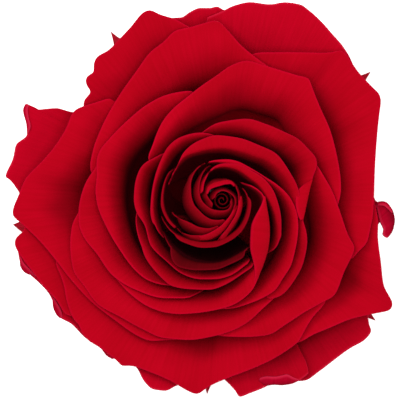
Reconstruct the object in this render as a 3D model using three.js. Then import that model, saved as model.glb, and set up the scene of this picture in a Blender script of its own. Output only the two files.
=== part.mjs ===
// A rose head seen from above: a spiral bud, six rings of petals, five sepals, a hip and a short cut stem.
// Millimetres, +Z up. The origin is the middle of the flat cut under the stem.
//
// Every rim is drawn from above on a square drawing sheet: x runs right (+X), y runs down (-Y), one step is
// GRID millimetres, the stem stands at STEM_AT and the bud's own axis at BUD_AT.
//
// All petals follow one family of nested profiles about the bud's axis. A profile is named by its reach,
// the distance from that axis at which it would end, in sheet steps. A small reach is an inner, tall profile
// and a large one is an outer, low profile, so two profiles with different reaches never meet. A petal takes
// its reach from its own list of [azimuth, reach] pairs, and is cut off where its rim is drawn.
import * as THREE from "three";

const GRID = 0.1818;
const STEM_AT = [215, 202];
const BUD_AT = [222, 200];
const BUD_X = (BUD_AT[0] - STEM_AT[0]) * GRID;
const BUD_Y = (STEM_AT[1] - BUD_AT[1]) * GRID;

// Each row is [reach in steps, value]; values between rows are straight lines.
// Height of the highest point of a profile, in millimetres.
const CREST_HEIGHT = [
  [0, 43.6], [20, 43.0], [40, 41.6], [60, 39.7], [80, 37.6], [100, 35.3], [120, 33.1], [150, 30.0],
  [180, 27.0], [210, 24.0], [240, 21.0],
];
// Distance of a profile's upright wall from the bud's axis, in steps, on the side where the bud leans out...
const WALL_LEFT = [
  [0, 5], [10, 18], [20, 31], [30, 42], [40, 49.5], [50, 55.5], [60, 60.5], [70, 65], [80, 69.5], [90, 75],
  [100, 82], [120, 95.5], [150, 108], [180, 119], [210, 131], [240, 142],
];
// ...and on the opposite side, where the petals lean away from it.
const WALL_RIGHT = [
  [0, 3], [10, 13], [20, 21], [30, 27], [40, 34.5], [50, 41.5], [60, 48.5], [70, 55], [80, 61.5],
  [90, 67.5], [100, 73], [120, 83.5], [150, 99], [180, 114], [210, 128], [240, 140],
];
const LEFT_SIDE_AZIMUTH = 228;
// Height of the curved top of a profile above its wall, in millimetres.
const TOP_CURVE_HEIGHT = [[0, 4], [20, 6.5], [40, 8], [60, 8.5], [100, 9], [150, 9], [200, 8], [240, 6]];
// Share of a parabola in the top curve, the rest being a quarter ellipse.
const TOP_CURVE_SLANT = 0.15;
// Width of the edge that rolls over outside the crest, in steps.
const ROLL_WIDTH = [[0, 0], [30, 0], [60, 2], [100, 4], [150, 7], [200, 10], [240, 12]];
// Share of the way up the receptacle at which a profile is rooted.
const ROOT_SHARE = [
  [0, 1], [10, 0.95], [30, 0.85], [50, 0.75], [70, 0.65], [90, 0.56], [120, 0.43], [150, 0.31], [180, 0.2],
  [210, 0.1], [240, 0],
];
const ROOT_LOW = { radius: 5.0, height: 8.9 };
const ROOT_HIGH = { radius: 0.95, height: 16.2 };
const BOWL_OUT_POWER = 1.6;
const BOWL_UP_POWER = 1.4;
const ROLL_DROOP = 0.085;
// Least share of the top curve that a petal keeps when its rim is drawn inside its crest.
const LEAST_TOP_SHARE = 0.12;
// Largest step between a petal's columns, in degrees, and how far the rim may be off its points, in steps.
const LARGEST_COLUMN_STEP = 22;
const RIM_TOLERANCE = 2.2;
const ROUGHNESS = 0.85;

// Thickness of the petals of each ring, in millimetres.
const GUARD_THICK = 0.5;
const OUTER_THICK = 0.5;
const CUP_THICK = 0.42;
const MIDDLE_THICK = 0.34;
const BUD_THICK = 0.28;

const GUARD_COLOUR = 0xa5182c;
const OUTER_COLOUR = 0xb81228;
const CUP_COLOUR = 0xc01027;
const MIDDLE_COLOUR = 0xb00f24;
const BUD_COLOUR = 0x9c0d20;
const SEPAL_COLOUR = 0x6e1620;
const HIP_COLOUR = 0x5a1a1c;
const STEM_COLOUR = 0x6b3a2a;

// Value of a table of [key, value] rows at a key, by straight lines.
function lookUp(table, key) {
  const down = table[0][0] > table[table.length - 1][0];
  const rows = down ? [...table].reverse() : table;
  if (key <= rows[0][0]) return rows[0][1];
  for (let i = 1; i < rows.length; i++) {
    const [a, va] = rows[i - 1];
    const [b, vb] = rows[i];
    if (key <= b) return va + ((vb - va) * (key - a)) / (b - a);
  }
  return rows[rows.length - 1][1];
}

// A rim point as [azimuth in degrees, radius in steps] about the bud's axis, kept near the last azimuth.
function polar([x, y], near) {
  const dx = x - BUD_AT[0];
  const dy = BUD_AT[1] - y;
  let azimuth = (Math.atan2(dy, dx) * 180) / Math.PI;
  while (azimuth - near > 180) azimuth -= 360;
  while (azimuth - near < -180) azimuth += 360;
  return [azimuth, Math.hypot(dx, dy)];
}

// Keeps the rim points that matter to within the tolerance, by halving at the farthest point.
function simplify(points, tolerance) {
  const [a, b] = [points[0], points[points.length - 1]];
  let farthest = 0;
  let at = -1;
  for (let i = 1; i < points.length - 1; i++) {
    const along = (points[i][0] - a[0]) / (b[0] - a[0] || 1);
    const off = Math.abs(points[i][1] - (a[1] + (b[1] - a[1]) * along));
    if (off > farthest) {
      farthest = off;
      at = i;
    }
  }
  if (farthest < tolerance) return [a, b];
  const before = simplify(points.slice(0, at + 1), tolerance);
  return [...before.slice(0, -1), ...simplify(points.slice(at), tolerance)];
}

// Adds points where two columns stand more than the largest step apart.
function fill(points) {
  const out = [points[0]];
  for (let i = 1; i < points.length; i++) {
    const [a, b] = [points[i - 1], points[i]];
    const parts = Math.ceil(Math.abs(b[0] - a[0]) / LARGEST_COLUMN_STEP);
    for (let k = 1; k <= parts; k++)
      out.push([a[0] + ((b[0] - a[0]) * k) / parts, a[1] + ((b[1] - a[1]) * k) / parts]);
  }
  return out;
}

// Reach at an azimuth: an eased curve between the pairs of the petal's list.
function reachAt(reaches, azimuth) {
  const rows = reaches[0][0] > reaches[reaches.length - 1][0] ? [...reaches].reverse() : reaches;
  if (azimuth <= rows[0][0]) return rows[0][1];
  for (let i = 1; i < rows.length; i++)
    if (azimuth <= rows[i][0]) {
      const [[a, va], [b, vb]] = [rows[i - 1], rows[i]];
      const t = (azimuth - a) / (b - a);
      return va + (vb - va) * t * t * (3 - 2 * t);
    }
  return rows[rows.length - 1][1];
}

// Places of one profile in millimetres about the bud's axis: its root, wall, top curve and crest.
function profile(reach, azimuth) {
  const left = 0.5 + 0.5 * Math.cos(((azimuth - LEFT_SIDE_AZIMUTH) * Math.PI) / 180);
  const wall = GRID * (left * lookUp(WALL_LEFT, reach) + (1 - left) * lookUp(WALL_RIGHT, reach));
  const crestHeight = lookUp(CREST_HEIGHT, reach);
  const share = lookUp(ROOT_SHARE, reach);
  return {
    wall,
    crestHeight,
    wallTop: crestHeight - lookUp(TOP_CURVE_HEIGHT, reach),
    crest: GRID * (reach - lookUp(ROLL_WIDTH, reach)),
    rootRadius: ROOT_LOW.radius + (ROOT_HIGH.radius - ROOT_LOW.radius) * share,
    rootHeight: ROOT_LOW.height + (ROOT_HIGH.height - ROOT_LOW.height) * share,
  };
}

// Radius and height on a profile. Rows 0 to 1 are the bowl, 1 to 2 the top curve, 2 to 3 the rolled edge.
function onProfile(p, row, rim) {
  if (row <= 1)
    return [
      p.rootRadius + (p.wall - p.rootRadius) * (1 - (1 - row) ** BOWL_OUT_POWER),
      p.rootHeight + (p.wallTop - p.rootHeight) * row ** BOWL_UP_POWER,
    ];
  const span = p.crest - p.wall;
  const beyond = span > 0 ? rim - p.crest : p.crest - rim;
  const cutShare = beyond >= 0 ? 1 : Math.max((rim - p.wall) / (span || 1), LEAST_TOP_SHARE);
  const lastTurn = Math.acos(1 - Math.min(cutShare, 1));
  const turn = lastTurn * Math.min(row - 1, 1);
  const risen = 1 - (1 - TOP_CURVE_SLANT) * (1 - Math.sin(turn)) - TOP_CURVE_SLANT * Math.cos(turn) ** 2;
  const height = p.wallTop + (p.crestHeight - p.wallTop) * risen;
  const radius = p.wall + span * (1 - Math.cos(turn));
  if (row <= 2 || beyond <= 0) return [radius, height];
  const past = beyond * (row - 2);
  return [radius + Math.sign(span) * past, height - ROLL_DROOP * past * past];
}

// Rows of a flat petal and of a rolled one, and the row from which each has its full width.
const FLAT = { rows: [0, 0.5, 1, 1.55, 2, 3], widest: 1, clawHalfWidth: 1.05 };
const ROLLED = { rows: [0, 0.35, 0.7, 1, 1.5, 2], widest: 1.5, clawHalfWidth: 0.6 };

// Closed skin of a sheet of points: the front and back grids and a strip round the edge.
function thicken(front, back) {
  const columns = front.length;
  const rows = front[0].length;
  const positions = [...front.flat(), ...back.flat()].flatMap((v) => [v.x, v.y, v.z]);
  const at = (side, i, j) => side * columns * rows + i * rows + j;
  const faces = [];
  const quad = (a, b, c, d) => faces.push(a, b, c, a, c, d);
  for (let i = 0; i + 1 < columns; i++)
    for (let j = 0; j + 1 < rows; j++) {
      quad(at(0, i, j), at(0, i + 1, j), at(0, i + 1, j + 1), at(0, i, j + 1));
      quad(at(1, i, j), at(1, i, j + 1), at(1, i + 1, j + 1), at(1, i + 1, j));
    }
  for (let i = 0; i + 1 < columns; i++) {
    quad(at(0, i, 0), at(1, i, 0), at(1, i + 1, 0), at(0, i + 1, 0));
    quad(at(0, i, rows - 1), at(0, i + 1, rows - 1), at(1, i + 1, rows - 1), at(1, i, rows - 1));
  }
  for (let j = 0; j + 1 < rows; j++) {
    quad(at(0, 0, j), at(0, 0, j + 1), at(1, 0, j + 1), at(1, 0, j));
    const last = columns - 1;
    quad(at(0, last, j), at(1, last, j), at(1, last, j + 1), at(0, last, j + 1));
  }
  const geometry = new THREE.BufferGeometry();
  geometry.setAttribute("position", new THREE.Float32BufferAttribute(positions, 3));
  geometry.setIndex(faces);
  return geometry;
}

// Front and back grids half the thickness to each side of a grid of points.
function offsetSheet(grid, thickness) {
  const columns = grid.length;
  const rows = grid[0].length;
  const front = [];
  const back = [];
  for (let i = 0; i < columns; i++) {
    front.push([]);
    back.push([]);
    for (let j = 0; j < rows; j++) {
      const [left, right] = [grid[Math.max(i - 1, 0)][j], grid[Math.min(i + 1, columns - 1)][j]];
      const [below, above] = [grid[i][Math.max(j - 1, 0)], grid[i][Math.min(j + 1, rows - 1)]];
      const across = new THREE.Vector3().subVectors(right, left);
      const up = new THREE.Vector3().subVectors(above, below);
      const normal = new THREE.Vector3().crossVectors(across, up).normalize();
      front[i].push(grid[i][j].clone().addScaledVector(normal, thickness / 2));
      back[i].push(grid[i][j].clone().addScaledVector(normal, -thickness / 2));
    }
  }
  return [front, back];
}

// One petal from its drawn rim, its reaches, the azimuth of its claw, its thickness and its kind.
function petal({ rim, reach, claw }, thickness, kind) {
  let near = reach[0][0];
  let drawn = rim.map((point) => {
    const p = polar(point, near);
    near = p[0];
    return p;
  });
  if (drawn[0][0] > drawn[drawn.length - 1][0]) drawn.reverse();
  drawn = fill(simplify(drawn, RIM_TOLERANCE));
  const first = drawn[0][0];
  const last = drawn[drawn.length - 1][0];
  const middle = claw ?? (first + last) / 2;
  const rootRadius = profile(reachAt(reach, middle), middle).rootRadius;
  const clawHalfAngle = Math.min((kind.clawHalfWidth / rootRadius) * (180 / Math.PI), (last - first) / 2);
  const grid = drawn.map(([rimAzimuth, rimRadius], i) =>
    kind.rows.map((row) => {
      const t = Math.min(row / kind.widest, 1);
      const spread = t * t * (3 - 2 * t);
      const clawAzimuth = middle + clawHalfAngle * ((2 * i) / (drawn.length - 1) - 1);
      const azimuth = clawAzimuth + (rimAzimuth - clawAzimuth) * spread;
      const p = profile(reachAt(reach, azimuth), azimuth);
      const [radius, height] = onProfile(p, row, rimRadius * GRID);
      const turn = (azimuth * Math.PI) / 180;
      return new THREE.Vector3(
        BUD_X + radius * Math.cos(turn),
        BUD_Y + radius * Math.sin(turn),
        height,
      );
    }),
  );
  return thicken(...offsetSheet(grid, thickness));
}

const group = new THREE.Group();
function add(name, geometry, colour) {
  const material = new THREE.MeshStandardMaterial({ color: colour, roughness: ROUGHNESS });
  const mesh = new THREE.Mesh(geometry, material);
  mesh.name = name;
  group.add(mesh);
}

// Guard petals: the lowest ring, with ragged margins that show past the outer petals.
const GUARD_PETALS = {
  guard_petal_left: {
    rim: [
      [92, 106], [73, 111.5], [55, 107.5], [36, 109], [25.5, 103], [22, 109.5], [25.5, 125], [26, 134],
      [15, 144.5], [12, 158], [4.5, 176.5], [9, 180], [18.5, 193], [28, 210],
    ],
    reach: [[140, 238], [186, 240]],
    claw: 158,
  },
  guard_petal_top: {
    rim: [
      [148, 34], [160, 24], [172, 17], [181, 16.5], [190, 11], [200, 7], [210, 7], [217, 5.5], [224, 9],
      [238, 12],
    ],
    reach: [[118, 228], [84, 228]],
    claw: 112,
  },
  guard_petal_top_right: {
    rim: [
      [204, 18], [221, 11], [235, 4.5], [250, 1.3], [270, 3.5], [285, 1.5], [300, 3.5], [310, 10],
      [322, 21], [333, 33.5], [343, 45], [352, 60], [360, 84],
    ],
    reach: [[96, 214], [39, 214]],
    claw: 72,
  },
  guard_petal_right: {
    rim: [
      [366, 160], [372, 182], [376, 200], [383, 202], [392, 209], [395, 220], [391, 234], [385, 238],
      [376, 244], [374, 262], [368, 282],
    ],
    reach: [[16, 190], [-18, 190], [-30, 206]],
    claw: 2,
  },
  guard_petal_lower_right: {
    rim: [
      [376, 300], [369, 317], [370, 325], [372, 331], [366, 340], [350, 349.5], [337, 359], [320, 372],
      [305, 381.5], [298, 382], [285, 378],
    ],
    reach: [[-32, 228], [-72, 228]],
    claw: -46,
  },
  guard_petal_bottom: {
    rim: [
      [312, 372], [298, 382], [290, 385], [280, 386], [272, 384.5], [265, 388], [250, 394], [240, 397.5],
      [235, 391], [224, 380], [214, 374],
    ],
    reach: [[-61, 209], [-94, 209]],
    claw: -78,
  },
  guard_petal_bottom_left: {
    rim: [
      [112, 350], [124, 360], [136, 368], [144, 382], [153, 390], [165, 391.5], [178, 386], [190, 385],
      [202, 378],
    ],
    reach: [[-128, 216], [-95, 216]],
    claw: -106,
  },
  guard_petal_lower_left: {
    rim: [
      [14, 236], [17, 252], [20, 266], [28, 274], [38, 283], [48, 294], [53.5, 305], [60, 318.5],
      [70, 324], [84, 338], [101, 350], [106, 356.5], [116, 362],
    ],
    reach: [[188, 232], [238, 232]],
    claw: 208,
  },
};

// Outer petals: six broad petals that lie almost flat, with softly rolled edges.
const OUTER_PETALS = {
  outer_petal_left: {
    rim: [
      [112, 97], [90, 104], [80, 107], [73, 111.5], [66, 128], [54, 147], [40, 163], [25, 178.5],
      [18, 195], [12, 210], [11.5, 214], [22, 224.5], [40, 242], [56, 261], [70, 279], [90, 301],
      [113, 320.5], [140, 341], [150, 345], [178, 345], [190, 341], [200, 332],
    ],
    reach: [
      [137, 158], [149, 172], [160, 176], [171, 190], [178, 204], [184, 207], [190, 197], [196, 187],
      [205, 177], [215, 172], [228, 173], [240, 169], [253, 162], [262, 162],
    ],
    claw: 186,
  },
  outer_petal_upper_left: {
    rim: [
      [92, 132], [84, 112], [83, 102], [91, 91], [86.5, 86], [85, 79], [90, 73.5], [94, 72.5], [93, 66],
      [96, 57], [108, 50], [120, 37.5], [130, 27], [144, 11], [149, 9], [160, 14], [175, 18.5], [186, 25],
      [200, 30], [215, 34],
    ],
    reach: [[153, 185], [146, 184], [138, 187], [126, 192], [112, 202], [102, 190], [91, 184]],
    claw: 128,
  },
  outer_petal_right: {
    rim: [
      [232, 60], [245, 56], [262, 52], [290, 52], [325, 52.5], [335, 51.5], [341, 49.5], [344, 51],
      [350, 59], [359, 72], [372, 86], [381, 96], [381.5, 102], [380, 112], [377, 140], [375, 170],
      [374, 200], [373, 215], [370, 230], [367, 243], [360, 250], [350, 262],
    ],
    reach: [
      [90, 184], [82, 176], [75, 170], [65, 171], [55, 182], [50, 190], [40, 190], [33, 189], [26, 176],
      [15, 162], [5, 155], [-10, 154], [-20, 153], [-28, 153],
    ],
    claw: 30,
  },
  outer_petal_lower_right: {
    rim: [
      [370, 176], [372, 190], [375, 203], [377, 213], [378.5, 222], [378, 235], [379, 247], [381, 260],
      [384, 285], [389, 295], [393, 302], [393.5, 306], [390, 311], [383, 312.5], [372, 314.5],
      [352, 319], [330, 328], [310, 336.5], [303, 341], [290, 345], [275, 350],
    ],
    reach: [
      [12, 168], [0, 167], [-10, 167], [-20, 173], [-28, 186], [-33, 194], [-42, 181], [-52, 175],
      [-62, 173], [-72, 177],
    ],
    claw: -24,
  },
  outer_petal_bottom: {
    rim: [
      [62, 250], [55, 262], [60, 275], [64, 288], [66, 300], [69, 310], [74, 321], [79, 325], [80.5, 331],
      [88, 341], [100, 348], [109, 355.5], [118, 362], [121.5, 367], [128, 366], [150, 372.5], [170, 381],
      [190, 392.5], [197, 395], [207, 388], [224, 380], [250, 370], [270, 361], [285, 352], [299, 341],
      [305, 330], [313, 317], [325, 303], [330, 288],
    ],
    reach: [
      [194, 198], [200, 195], [210, 192], [220, 192], [230, 193], [240, 190], [250, 187], [258, 192],
      [264, 192], [268, 184], [275, 178], [290, 168], [300, 163], [308, 158], [315, 153], [325, 153],
    ],
    claw: 262,
  },
  outer_petal_lower_left: {
    rim: [
      [22, 205], [24, 229], [15, 238], [13.5, 243], [16, 250], [25, 263], [35, 276], [44, 288], [51, 295],
      [57, 302], [62, 311], [64, 314], [75, 318],
    ],
    reach: [[176, 220], [184, 219], [192, 215], [200, 211], [212, 208], [222, 207]],
    claw: 226,
  },
};

// Broad petals: three large petals that stand up behind the cup.
const BROAD_PETALS = {
  broad_petal_top: {
    rim: [
      [93, 177], [90, 168], [93, 150], [99, 133], [106, 118], [120, 94], [137, 70], [150, 52], [163, 42],
      [176, 30], [192, 26.5], [205, 22.5], [216, 20], [226, 28], [240, 44], [258, 59], [270, 67.5],
      [285, 80], [296, 92],
    ],
    reach: [
      [174, 149], [168, 144], [158, 142], [151, 143], [134, 149], [116, 163], [100, 174], [90, 172],
      [80, 157], [74, 150], [66, 151], [56, 157],
    ],
    claw: 118,
  },
  broad_petal_lower_left: {
    rim: [
      [84, 202], [78, 213], [72, 225], [70, 245], [73, 270], [84, 286], [97, 304], [120, 317], [142, 329],
      [163, 338], [190, 340], [210, 337], [230, 331.5], [248, 322], [262, 309], [278, 294], [288, 282],
    ],
    reach: [
      [180, 151], [187, 153], [196, 159], [210, 163], [228, 156.5], [246, 150], [258, 144], [273, 134],
      [290, 121], [302, 119], [312, 119],
    ],
    claw: 244,
  },
  broad_petal_right: {
    rim: [
      [306, 152], [318, 167], [323, 175], [333, 193], [340, 212], [348, 235], [355, 249], [353, 254],
      [345, 270], [334, 296], [325, 301], [305, 312], [285, 325], [268, 335], [245, 337], [225, 336.5],
      [205, 332], [185, 326],
    ],
    reach: [
      [31, 109], [19, 108], [4, 113], [-6, 120], [-16, 131], [-28, 141], [-45, 144], [-63, 142],
      [-80, 141], [-90, 145], [-100, 153], [-108, 155.5],
    ],
    claw: -42,
  },
};

// Cup petals: four petals that make the main cup round the heart.
const CUP_PETALS = {
  cup_petal_upper_left: {
    rim: [
      [196, 91.5], [190, 91], [168, 94.5], [148, 104], [128, 120], [110, 138], [99, 152], [97, 158],
      [96.5, 163], [97, 175], [95.5, 190], [97, 203], [108, 230], [120, 250], [135, 270], [150, 281],
      [168, 285], [185, 284], [200, 280],
    ],
    reach: [
      [102, 124], [108, 121.5], [117, 121], [128, 123], [140, 125], [152, 130], [161, 131], [168, 129],
      [181, 125], [195, 122], [206, 120], [219, 118.5], [228, 116], [238, 111.5], [246, 107.5],
      [255, 104],
    ],
    claw: 174,
  },
  cup_petal_left: {
    rim: [
      [100, 160], [96, 167], [86, 182], [80, 200], [78.5, 210], [78.5, 222], [83, 236], [97, 254],
      [112, 275], [134, 289], [165, 298], [185, 298], [200, 292], [206, 289],
    ],
    reach: [
      [158, 136.5], [168, 135.5], [174, 139], [180, 143], [188, 145.5], [195, 144], [204, 139.5],
      [214, 134.2], [226, 127.5], [240, 118.5], [250, 115], [262, 110],
    ],
    claw: 212,
  },
  cup_petal_right: {
    rim: [
      [146, 170], [146, 158], [150, 152], [157, 133], [163, 121], [173, 109], [190, 95], [200, 87],
      [216, 76], [232, 65], [247, 60.5], [260, 64], [280, 70], [300, 76], [309, 78], [311, 84],
      [320, 107], [330, 130], [337, 157], [340.5, 178], [341, 190], [338, 204], [334, 216],
    ],
    reach: [
      [160, 95], [150, 91], [134, 93], [118, 101], [108, 106], [93, 118], [85, 130], [78, 138], [66, 142],
      [55, 148], [48, 141], [40, 133], [26, 125], [10, 121], [0, 123], [-8, 130],
    ],
    claw: 72,
  },
  cup_petal_bottom: {
    rim: [
      [108, 268], [118, 281], [128, 292], [150, 307.5], [168, 313], [180, 314], [200, 312.5], [230, 306],
      [245, 297], [254, 287], [258, 277], [264, 262], [268, 240], [268, 230], [265, 207], [264, 196],
      [258, 190], [252, 186], [245, 184.5], [240, 182],
    ],
    reach: [
      [210, 144], [218, 140.5], [224, 136], [236, 130], [245, 126], [259, 118.5], [267, 113],
      [274, 107.5], [283, 101], [290, 93], [300, 81], [311, 70], [327, 56], [345, 46], [365, 42],
      [385, 33], [405, 27],
    ],
    claw: 296,
  },
};

// Middle petals: the ring inside the cup, each wrapping the next.
const MIDDLE_PETALS = {
  middle_petal_right: {
    rim: [
      [190, 140], [198, 136], [207, 129], [215, 124], [225, 121.5], [247, 119], [265, 124], [285, 132.5],
      [298, 139], [309, 150], [316.5, 159.5], [317, 165], [313, 176], [308, 195], [302.5, 219],
      [306, 231], [307, 240], [303, 263], [295, 279], [280, 296], [266, 300],
    ],
    reach: [
      [120, 80], [108, 77], [95, 75], [88, 75.5], [73, 80], [60, 83], [47, 88.5], [38, 95], [23, 102.5],
      [15, 95], [3, 88.5], [-8, 87], [-14, 88], [-22, 92], [-38, 104.5], [-53, 112], [-59, 113.5],
      [-68, 115],
    ],
    claw: 26,
  },
  middle_petal_upper_left: {
    rim: [
      [158.5, 242], [157, 235], [150.5, 212], [151.5, 196], [155, 177], [161, 160], [168, 147],
      [181, 137], [200, 132.8], [210, 134], [222, 141],
    ],
    reach: [
      [216, 76], [200, 74], [189, 73], [177, 72], [161, 72], [147, 74], [135, 76.5], [123, 76], [108, 72],
      [98, 70.5], [88, 70.5],
    ],
    claw: 172,
  },
  middle_petal_top: {
    rim: [
      [172, 186], [171.5, 178], [178, 166], [182, 155], [193, 144], [201, 140], [215, 135.5], [238, 138],
      [260, 146], [275, 153], [280, 158], [290, 173], [297, 186], [300, 197], [301, 209], [299, 220],
    ],
    reach: [
      [165, 57], [156, 57.5], [142, 59.5], [131, 60], [117, 57], [96, 55], [75, 55], [55, 58], [42, 64],
      [28, 69.5], [14, 74.5], [2, 78], [-8, 80], [-15, 82.2],
    ],
    claw: 96,
  },
  middle_petal_left: {
    rim: [
      [174, 146], [166, 150], [158, 156], [145, 163], [140, 169], [135, 185], [134, 200], [137, 213],
      [145, 225], [148, 236], [149.5, 243], [168, 262], [182, 273.5], [200, 279], [215, 279],
      [230, 275.5], [246, 264.5], [251, 261],
    ],
    reach: [
      [130, 84], [138, 82], [146, 82.5], [152, 86], [160, 90], [180, 89], [190, 86], [198, 85], [206, 87],
      [220, 88], [240, 88.5], [255, 85.5], [265, 82], [276, 78], [290, 70.5], [298, 69],
    ],
    claw: 204,
  },
  middle_petal_lower_left: {
    rim: [
      [140, 190], [132, 203], [127, 216], [132.6, 233], [145.4, 258], [163, 279], [172, 286], [190, 289],
      [210, 289.5], [226, 284], [243, 273], [255, 265],
    ],
    reach: [
      [172, 98], [190, 98], [210, 96.5], [225, 100], [240, 100.5], [250, 97.5], [262, 94], [272, 86],
      [280, 82], [292, 76.5], [298, 75],
    ],
    claw: 238,
  },
  heart_petal_right: {
    rim: [
      [207.5, 163], [210, 161], [228, 159.5], [236, 161], [252, 169], [268, 179], [276, 184], [290, 198],
      [297, 215], [298, 226], [292, 262], [281, 281], [276, 289], [266, 296], [250, 303], [230, 308.5],
      [212, 309],
    ],
    reach: [
      [120, 41.5], [108, 40.5], [95, 39], [82, 38], [70, 38.5], [58, 40], [46, 43], [34, 47.5],
      [24, 51.5], [16, 57], [2, 68], [-11, 77], [-30, 87], [-42, 94.5], [-54, 102], [-66, 107],
      [-75, 111], [-86, 117], [-96, 121],
    ],
    claw: 0,
  },
  heart_petal_top: {
    rim: [
      [203, 195], [204, 184], [207, 176], [210, 170], [215, 166], [222, 163.5], [236, 163.5], [250, 170],
      [264, 179], [275, 195], [281, 222], [281, 235], [275, 258], [268, 262],
    ],
    reach: [
      [166, 19.2], [138, 24], [122, 27.5], [112, 30], [102, 31], [90, 31.5], [79, 32], [69, 32.5],
      [57, 33], [47, 34], [36, 36.5], [27, 40], [15, 45], [5, 49.5], [-3, 53], [-20, 62], [-31, 69.5],
      [-40, 75.5], [-52, 80.5],
    ],
    claw: 84,
  },
  heart_petal_bottom: {
    rim: [
      [166, 257], [172, 262.5], [185, 268], [195, 270], [215, 269.5], [230, 264], [248, 253], [250, 246],
    ],
    reach: [[218, 72.5], [230, 72.5], [242, 71.5], [257, 68], [270, 64.5], [287, 59], [302, 56]],
    claw: 262,
  },
};

// Bud petals: eight petals rolled round one another, numbered from the middle outward.
const BUD_PETALS = {
  bud_petal_1: {
    rim: [[225, 199], [226.5, 202], [224.5, 204.5], [221, 205.2], [218, 203.5], [217.8, 200], [220, 197]],
    reach: [[20, 3.2], [-24, 4.6], [-61, 5], [-98, 5.2], [-141, 5.2], [-180, 4], [-236, 3]],
    claw: -70,
  },
  bud_petal_2: {
    rim: [
      [215, 200], [215.5, 196], [218, 192.5], [222, 191], [227, 192], [231, 194.5], [234, 198],
      [234.5, 203], [233, 209], [230, 215], [226, 220], [220, 226], [214, 230], [206, 234], [200, 235.5],
      [193.5, 236],
    ],
    reach: [
      [182, 7], [148, 7.6], [118, 8.5], [90, 9], [58, 9.4], [31, 10.5], [9, 12.2], [-14, 12.9],
      [-39, 14.2], [-62, 17], [-79, 20.8], [-94, 27.5], [-105, 33], [-115, 37], [-122, 41], [-130, 45.5],
    ],
    claw: 10,
  },
  bud_petal_3: {
    rim: [
      [228, 199], [230.5, 204], [227, 209.5], [222, 210.5], [216, 210], [211, 208.5], [206, 205],
      [202, 200.5], [200, 195], [199.5, 190], [201.5, 178], [208, 167], [212, 164], [215, 163],
    ],
    reach: [
      [370, 7.5], [335, 9.3], [298, 10.6], [270, 10.6], [239, 12.3], [218, 14], [197, 16.8], [181, 20],
      [167, 22.8], [156, 24.8], [144, 27.3], [133, 29.5], [123, 31.5], [113, 33.5], [100, 34.5],
    ],
    claw: 226,
  },
  bud_petal_4: {
    rim: [
      [214.5, 206], [211, 201], [208, 197], [206.5, 193], [209, 187], [213, 184.5], [220, 182],
      [226, 180.5], [232, 182], [235, 186], [238, 197], [238, 203], [235, 215], [227, 228], [222, 234],
      [217, 240],
    ],
    reach: [
      [220, 9.6], [185, 11], [168, 14.3], [156, 16], [135, 17.8], [120, 17.9], [96, 18.1], [78, 19.6],
      [61, 20.2], [47, 19.1], [31, 17.5], [10, 16.5], [-10, 16.6], [-28, 17.5], [-49, 20], [-64, 23.3],
      [-80, 28.4], [-90, 34], [-98, 40],
    ],
    claw: 62,
  },
  bud_petal_5: {
    rim: [
      [219, 219.8], [213, 219.5], [206, 216.5], [200, 211], [194, 204], [191.5, 195], [191, 185],
      [195, 172], [200, 167], [205, 162.5],
    ],
    reach: [
      [268, 20], [245, 21.5], [226, 23], [207, 25], [188, 28.3], [171, 31], [154, 34.5], [144, 37],
      [134, 38.8], [124, 39.8], [114, 40.6], [103, 40.6],
    ],
    claw: 176,
  },
  bud_petal_6: {
    rim: [[175, 206], [176, 214], [187, 220.5], [200, 227], [208, 228], [214.5, 226.6]],
    reach: [
      [187, 50], [197, 48], [203, 45], [211, 41], [219, 38.5], [231, 35], [244, 31.5], [254, 27.5],
      [258, 26],
    ],
    claw: 236,
  },
  bud_petal_7: {
    rim: [
      [176, 168], [170, 172], [165, 180], [161.5, 195], [161, 204], [163, 212], [171, 225], [186, 234],
      [193, 235],
    ],
    reach: [
      [144, 62], [155, 62], [168, 61.5], [184, 61], [199, 58.5], [214, 53.5], [223, 50], [230.4, 46.5],
    ],
    claw: 212,
  },
  bud_petal_8: {
    rim: [
      [158.5, 209], [159.5, 217], [165, 229], [172, 236], [182, 241.5], [203, 247.5], [213, 247],
      [230, 240.5], [243, 229], [250, 212], [251, 204], [250, 198], [243, 187],
    ],
    reach: [
      [183, 67], [191, 66.5], [207, 63], [216, 60], [226, 55.5], [237, 51], [248, 47], [259, 43.5],
      [270, 40.5], [285, 36], [300, 33], [320, 29.5], [337, 27.5], [352, 26.5], [375, 25], [392, 23.5],
    ],
    claw: 300,
  },
};

const RINGS = [
  [GUARD_PETALS, GUARD_THICK, FLAT, GUARD_COLOUR],
  [OUTER_PETALS, OUTER_THICK, FLAT, OUTER_COLOUR],
  [BROAD_PETALS, OUTER_THICK, FLAT, OUTER_COLOUR],
  [CUP_PETALS, CUP_THICK, FLAT, CUP_COLOUR],
  [MIDDLE_PETALS, MIDDLE_THICK, FLAT, MIDDLE_COLOUR],
  [BUD_PETALS, BUD_THICK, ROLLED, BUD_COLOUR],
];
for (const [petals, thickness, kind, colour] of RINGS)
  for (const [name, shape] of Object.entries(petals)) add(name, petal(shape, thickness, kind), colour);

// Sepals: five pointed leaves under the petals, bent down so that their tips touch the surface.
const SEPALS = {
  sepal_top: { azimuth: 121.4, length: 37.0 },
  sepal_right: { azimuth: 39.9, length: 37.6 },
  sepal_lower_right: { azimuth: -36.4, length: 37.0 },
  sepal_bottom: { azimuth: -92.3, length: 35.6 },
  sepal_left: { azimuth: 186.4, length: 37.6 },
};
const BUD_OFFSET = new THREE.Vector3(BUD_X, BUD_Y, 0);
const SEPAL_THICK = 0.6;
const SEPAL_ROOT_RADIUS = 5.3;
const SEPAL_ROOT_HEIGHT = 7.2;
const SEPAL_TIP_HALF_WIDTH = 0.35;
const SEPAL_HALF_WIDTH = 3.6;
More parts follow.
